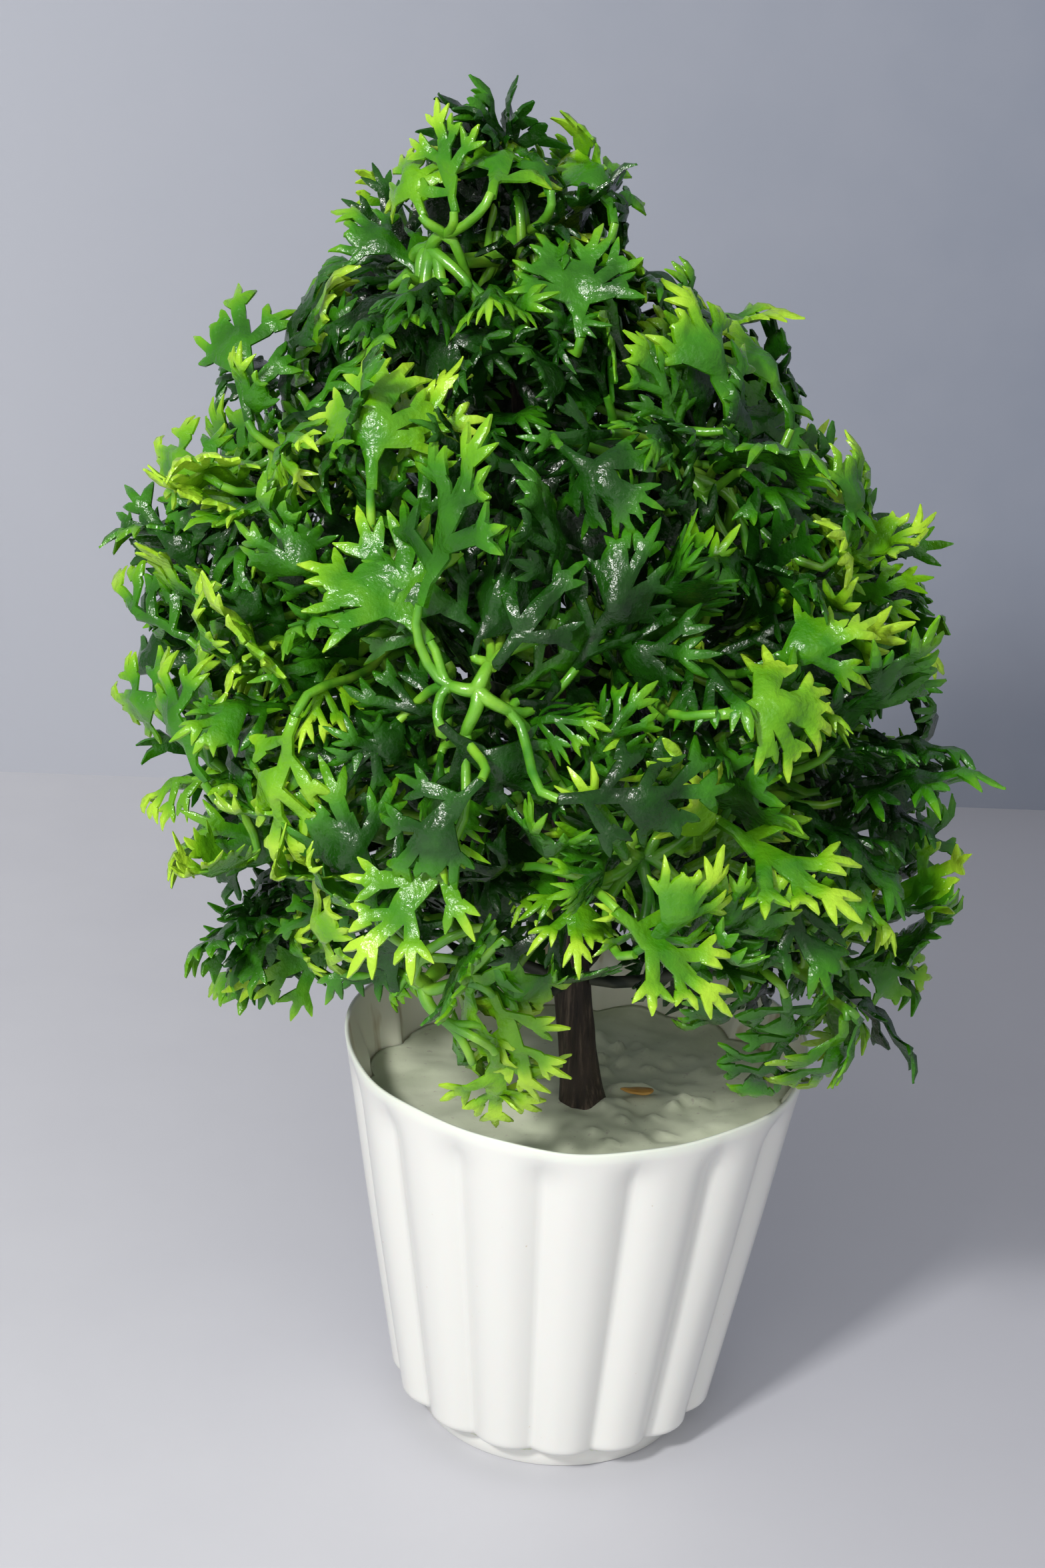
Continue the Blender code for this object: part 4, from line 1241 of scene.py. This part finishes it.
def place_leaves():
    """All leaves of the crown, by the spray they belong to."""
    draw = random.Random(CROWN_SEED)
    shown = []
    for direction, height, depth, kind, size, lean, outwards, tint in SHOW_LEAVES:
        centre = crown_place(math.radians(direction), height * MM, depth * MM)
        shown.append(show_leaf(centre, kind, size, lean, outwards, 0.85 * tint, draw))
    for x, y, height, kind, size, lean, tint in HANGING:
        shown.append(show_leaf(Vector((x, y, height)) * MM, kind, size, lean, 0.0, tint, draw, True))
    taken = [(leaf.base + leaf.along * 0.55 * leaf.size, 7.0 * MM) for leaf in shown]
    hub, forward = HUBS[OPEN_HUB]
    taken.append((hub + forward * 7.0 * MM, 14.0 * MM))
    free = [centre for gap, shallow, deep in LAYERS
            for centre in ring_places(gap * MM, shallow * MM, deep * MM, draw)
            if all((centre - middle).length > clear for middle, clear in taken)
            and (shallow > 10.0 or noise.noise(centre / (17.0 * MM) + Vector((1.0, 7.0, 3.0))) > -0.24)]
    given = {node: [] for node in SPRAYS}
    for leaf in shown + [free_leaf(centre, draw) for centre in free]:
        given[nearest_spray(leaf.base + leaf.along * 0.3 * leaf.size)].append(leaf)
    return given


GIVEN = place_leaves()
COUNTS = sorted(len(given) for given in GIVEN.values())
print("leaves:", sum(COUNTS), "a spray:", COUNTS)

# %% [markdown]
# ## Growing the sprays and their wires
# On the real tree a spray is one moulding: a socket that sits on the wire, an open star of arms, and twigs that fork
# off to the leaves.  The wire is iron in paper tape and runs from the trunk to the last spray of its branch.  Curves
# with a bevel would do for a few stems; here every stem is one more row of skeleton points, so one modifier makes
# all of a spray at once.

# %% Growing one spray
STEM_RADIUS = 1.65 * MM
TWIG_RADIUS = 1.0 * MM
WIRE_RADIUS = 1.45 * MM
WIRE_END_RADIUS = 1.2 * MM
LEAVES_ON_ARM = 3.6
LEAVES_ON_OPEN_ARM = 5.5


def grow_spray(node):
    """Arms from the hub, each to a fork with a few leaves."""
    draw = random.Random(node)
    hub, forward = HUBS[node]
    right = forward.orthogonal().normalized()
    ahead = forward.cross(right)

    def bearing(leaf):
        return math.atan2((leaf.base - hub).dot(ahead), (leaf.base - hub).dot(right))

    ordered = sorted(GIVEN[node], key=bearing)
    arms = max(1, round(len(ordered) / (LEAVES_ON_OPEN_ARM if node == OPEN_HUB else LEAVES_ON_ARM)))
    skeleton = Skeleton()
    for number in range(arms):
        group = ordered[number * len(ordered) // arms:(number + 1) * len(ordered) // arms]
        middle = sum((leaf.base for leaf in group), Vector()) / len(group)
        way = middle - hub
        sideways = (way - forward * way.dot(forward)).normalized()
        split = hub + way * 0.52 + forward * (0.14 * way.length)
        arriving = (middle - split).normalized()
        swirl = forward.cross(sideways) * draw.uniform(-0.9, 0.9)
        leaving = (forward * 0.6 + sideways * 0.6 + swirl).normalized() * 1.3
        skeleton.stem(bend(hub, leaving, split, arriving, 8), STEM_RADIUS, TWIG_RADIUS * 1.15)
        for leaf in group:
            skeleton.stem(bend(split, arriving, leaf.base, leaf.along, 6), TWIG_RADIUS * 1.15, TWIG_RADIUS * 0.9)
            skeleton.leaf(leaf.base, leaf.along, leaf.normal, leaf.size, leaf.kind, leaf.tint)
    return skeleton, hub, forward


# %% Sprays, their stalks and the wires

def limb_wire(body):
    """The wrapped wire of a branch, from its root on the trunk to the hub of its last spray."""
    root = Vector(JOINTS[body]["pos_m"])
    tip = [node for node in SPRAYS if BODY_OF[node] == body and "_tip_" in node][0]
    hub, forward = HUBS[tip]
    leaving = TRUNK_UP.copy() if body == "leader" else (root - trunk_at(root.z)).normalized()
    return bend(root, leaving, hub, forward, 10)


def grow_body(body):
    """All the sprays of one branch, and its wire."""
    route = limb_wire(body)
    wire = Skeleton()
    wire.stem(route, WIRE_RADIUS, WIRE_END_RADIUS)
    wires = [node for node in NODES if BODY_OF[node] == body and not node.endswith("_spray")]
    name = wires[0].replace("_branch_", "_wire_") if "_branch_" in wires[0] else "leader_stem"
    made = [(wire.clothe(name, WIRE, 10), wires[0], "wrapped_wire")]
    for node in (node for node in SPRAYS if BODY_OF[node] == body):
        skeleton, hub, forward = grow_spray(node)
        if "_tip_" not in node:
            clip = route[4]
            leaving = ((hub - clip).normalized() + (route[5] - route[4]).normalized()).normalized()
            skeleton.stem(bend(clip, leaving, hub, forward, 8), STEM_RADIUS * 1.1, STEM_RADIUS)
        else:
            socket = [hub + forward * (along * MM) for along in (-6.0, -3.0, 0.5)]
            skeleton.stem(socket, 1.9 * MM, 1.3 * MM)
        made.append((skeleton.clothe(node.replace("_spray", "_foliage"), STEM, 8), node, "leaf_plastic"))
    return made


foliage = []
for body in sorted(frame["bodies"]):
    if body != "base":
        foliage += [(piece, node, slot, body) for piece, node, slot in grow_body(body)]
print("foliage pieces:", len(foliage), "triangles:", sum(triangles(piece) for piece, *_ in foliage))

# %% [markdown]
# ## The steel core
# The trunk's core is a plain drawn rod, hidden by the bark and the plaster.  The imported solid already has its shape,
# so it only gets a finish: steel with faint lines along its length, stretched from noise.

# %% The steel core's finish

def core_finish():
    finish = Finish("core_steel", 0.4, Metallic=1.0)
    drawn = finish.cloud(finish.coordinates((1.0, 1.0, 0.05)), 600.0, 3.0)
    finish.set("Base Color", finish.ramp(drawn, [(0.3, (0.25, 0.24, 0.23)), (0.7, (0.5, 0.49, 0.48))]))
    finish.bump(drawn, 0.3, 0.0003)
    return finish.material


STEEL = core_finish()
for slot in NODES["trunk_core"].material_slots:
    slot.material = STEEL

# %% [markdown]
# ## Putting the pieces on their bodies
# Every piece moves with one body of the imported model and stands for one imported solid.  The trunk's core is the only
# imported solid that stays, because nothing of it shows.

# %% Riding
standing = [(pot, "pot", "pot", "base"), (plaster, "plaster_fill", "plaster", "base"),
            (bark, "trunk_wrap", "bark_paper", "base"), (flake, "bark_chip", "bark_chip", "base")]
for piece, node, slot, body in standing + foliage:
    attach(piece, body)
    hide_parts(node)
print("riding:", len(standing + foliage), "pieces")

# %% [markdown]
# ## Floor, wall and light
# The tree stands on a pale board in front of a pale wall, and both have painted shade: their colour darkens towards the
# right, where the lamps' light falls off and the tree's shadow lies, the wall's most steeply at its foot.  A small lamp
# from the left and above gives the sharp highlights on the plastic, a wide one beside it softens the shadows, and a
# wide lamp in front and a pale world fill them.  The lamp in front is left out of reflections, because it would lay a
# grey film over the dark leaves.  The wall shows only its front, so that the tree can be looked at from behind.

# %% Stage
WALL_DISTANCE = 412.0 * MM
WALL_TURN = math.radians(4.0)
WALL_HALF, WALL_HEIGHT = 2.5, 2.2
FLOOR_HALF = 6.0


def board_finish_with_painted_shade(name, near, far, foot_shade):
    """A pale matt surface with painted shade: it darkens slowly to the right, where the lamps' light falls off and the
    tree's shadow lies, more so at its foot, and a little higher up.
    """
    finish = Finish(name, 0.55, Specular_IOR_Level=0.3)
    place = finish.add("TexCoord").outputs["Object"]
    split = finish.add("SeparateXYZ", links={"Vector": place}).outputs
    # Painted shade: the colour runs from the lit near colour to the shaded far colour towards the right, more steeply
    # at the foot and a little further higher up.
    along = finish.math("MULTIPLY", split["X"], finish.steps(split["Z"], 0.0, 0.45, 1.0 + foot_shade, 1.0))
    along = finish.math("ADD", along, finish.math("MULTIPLY", split["Z"], 0.45))
    colour = finish.ramp(finish.steps(along, -0.3, 0.35), [(0.0, near), (1.0, far)])
    cloud = finish.cloud(place, 30.0, 3.0)
    finish.set("Base Color", finish.blend(finish.steps(cloud, 0.3, 0.7, 0.0, 0.10), colour, (0.45, 0.45, 0.50)))
    finish.bump(finish.cloud(place, 500.0, 2.0), 0.05, 0.0003)
    return finish


def make_plane(name, corners, finish):
    mesh = bpy.data.meshes.new(name)
    mesh.from_pydata(corners, [], [(0, 1, 2, 3)])
    piece = add_piece(name, mesh, finish.material, smooth=False)
    return piece


def make_wall():
    # The wall's second colour is painted shade at its right.
    finish = board_finish_with_painted_shade("wall_board_painted_shade", (0.44, 0.455, 0.505), (0.26, 0.285, 0.35), 1.0)
    behind = finish.add("NewGeometry").outputs["Backfacing"]
    clear = finish.add("BsdfTransparent")
    output = next(node for node in finish.tree.nodes if node.type == "OUTPUT_MATERIAL")
    one_side = finish.add("MixShader")
    for socket, source in zip(one_side.inputs, (behind, finish.shader.outputs[0], clear.outputs[0])):
        finish.tree.links.new(source, socket)
    finish.tree.links.new(one_side.outputs[0], output.inputs["Surface"])
    run = Vector((math.cos(WALL_TURN), math.sin(WALL_TURN), 0.0)) * WALL_HALF
    middle = Vector((0.0, WALL_DISTANCE, 0.0))
    left, right, rise = middle - run, middle + run, UP * WALL_HEIGHT
    return make_plane("wall", [tuple(corner) for corner in (left, right, right + rise, left + rise)], finish)


# The floor's second colour is painted shade towards its right.
floor_finish_with_painted_shade = board_finish_with_painted_shade("floor_board_painted_shade", (0.66, 0.66, 0.69), (0.43, 0.43, 0.48), 0.0)
make_plane("floor", [(FLOOR_HALF * x, FLOOR_HALF * y, 0.0) for x, y in ((-1, -1), (1, -1), (1, 1), (-1, 1))],
           floor_finish_with_painted_shade)
make_wall()

# %% Lamps
WARM, NEUTRAL, PALE_SKY = (1.0, 0.99, 0.96), (1.0, 0.99, 0.97), (0.97, 0.98, 1.0, 1.0)
SKY_STRENGTH = 0.45
LAMPS = (      # name, azimuth, height angle, distance, size, power, colour, mirrored
    ("key_lamp", 29.0, 35.0, 0.95, 0.10, 7.0, WARM, True),
    ("soft_key", 24.0, 31.0, 1.2, 1.3, 4.1, NEUTRAL, True),
    ("front_fill", -6.0, 17.0, 1.3, 1.7, 5.7, NEUTRAL, False),
)
LAMP_AIM = Vector((0.0, 0.0, 150.0)) * MM


def make_lamp(name, azimuth, height_angle, distance, size, power, colour, mirrored):
    """A square lamp; azimuth 0 is at the front and grows towards the left.  One that isn't mirrored adds no sheen."""
    light = bpy.data.lights.new(name, "AREA")
    light.size = size
    light.energy = power
    light.color = colour
    lamp = bpy.data.objects.new(name, light)
    turn, lift = math.radians(azimuth), math.radians(height_angle)
    away = Vector((-math.sin(turn) * math.cos(lift), -math.cos(turn) * math.cos(lift), math.sin(lift)))
    lamp.location = LAMP_AIM + away * distance
    lamp.rotation_euler = away.to_track_quat("Z", "Y").to_euler()
    lamp.visible_glossy = mirrored
    bpy.context.scene.collection.objects.link(lamp)


for lamp_row in LAMPS:
    make_lamp(*lamp_row)
world = bpy.data.worlds.new("studio")
bpy.context.scene.world = world
world.use_nodes = True
sky = world.node_tree.nodes["Background"]
sky.inputs["Color"].default_value = PALE_SKY
sky.inputs["Strength"].default_value = SKY_STRENGTH
bpy.context.scene.view_settings.view_transform = "Standard"
print("lamps:", len(LAMPS))
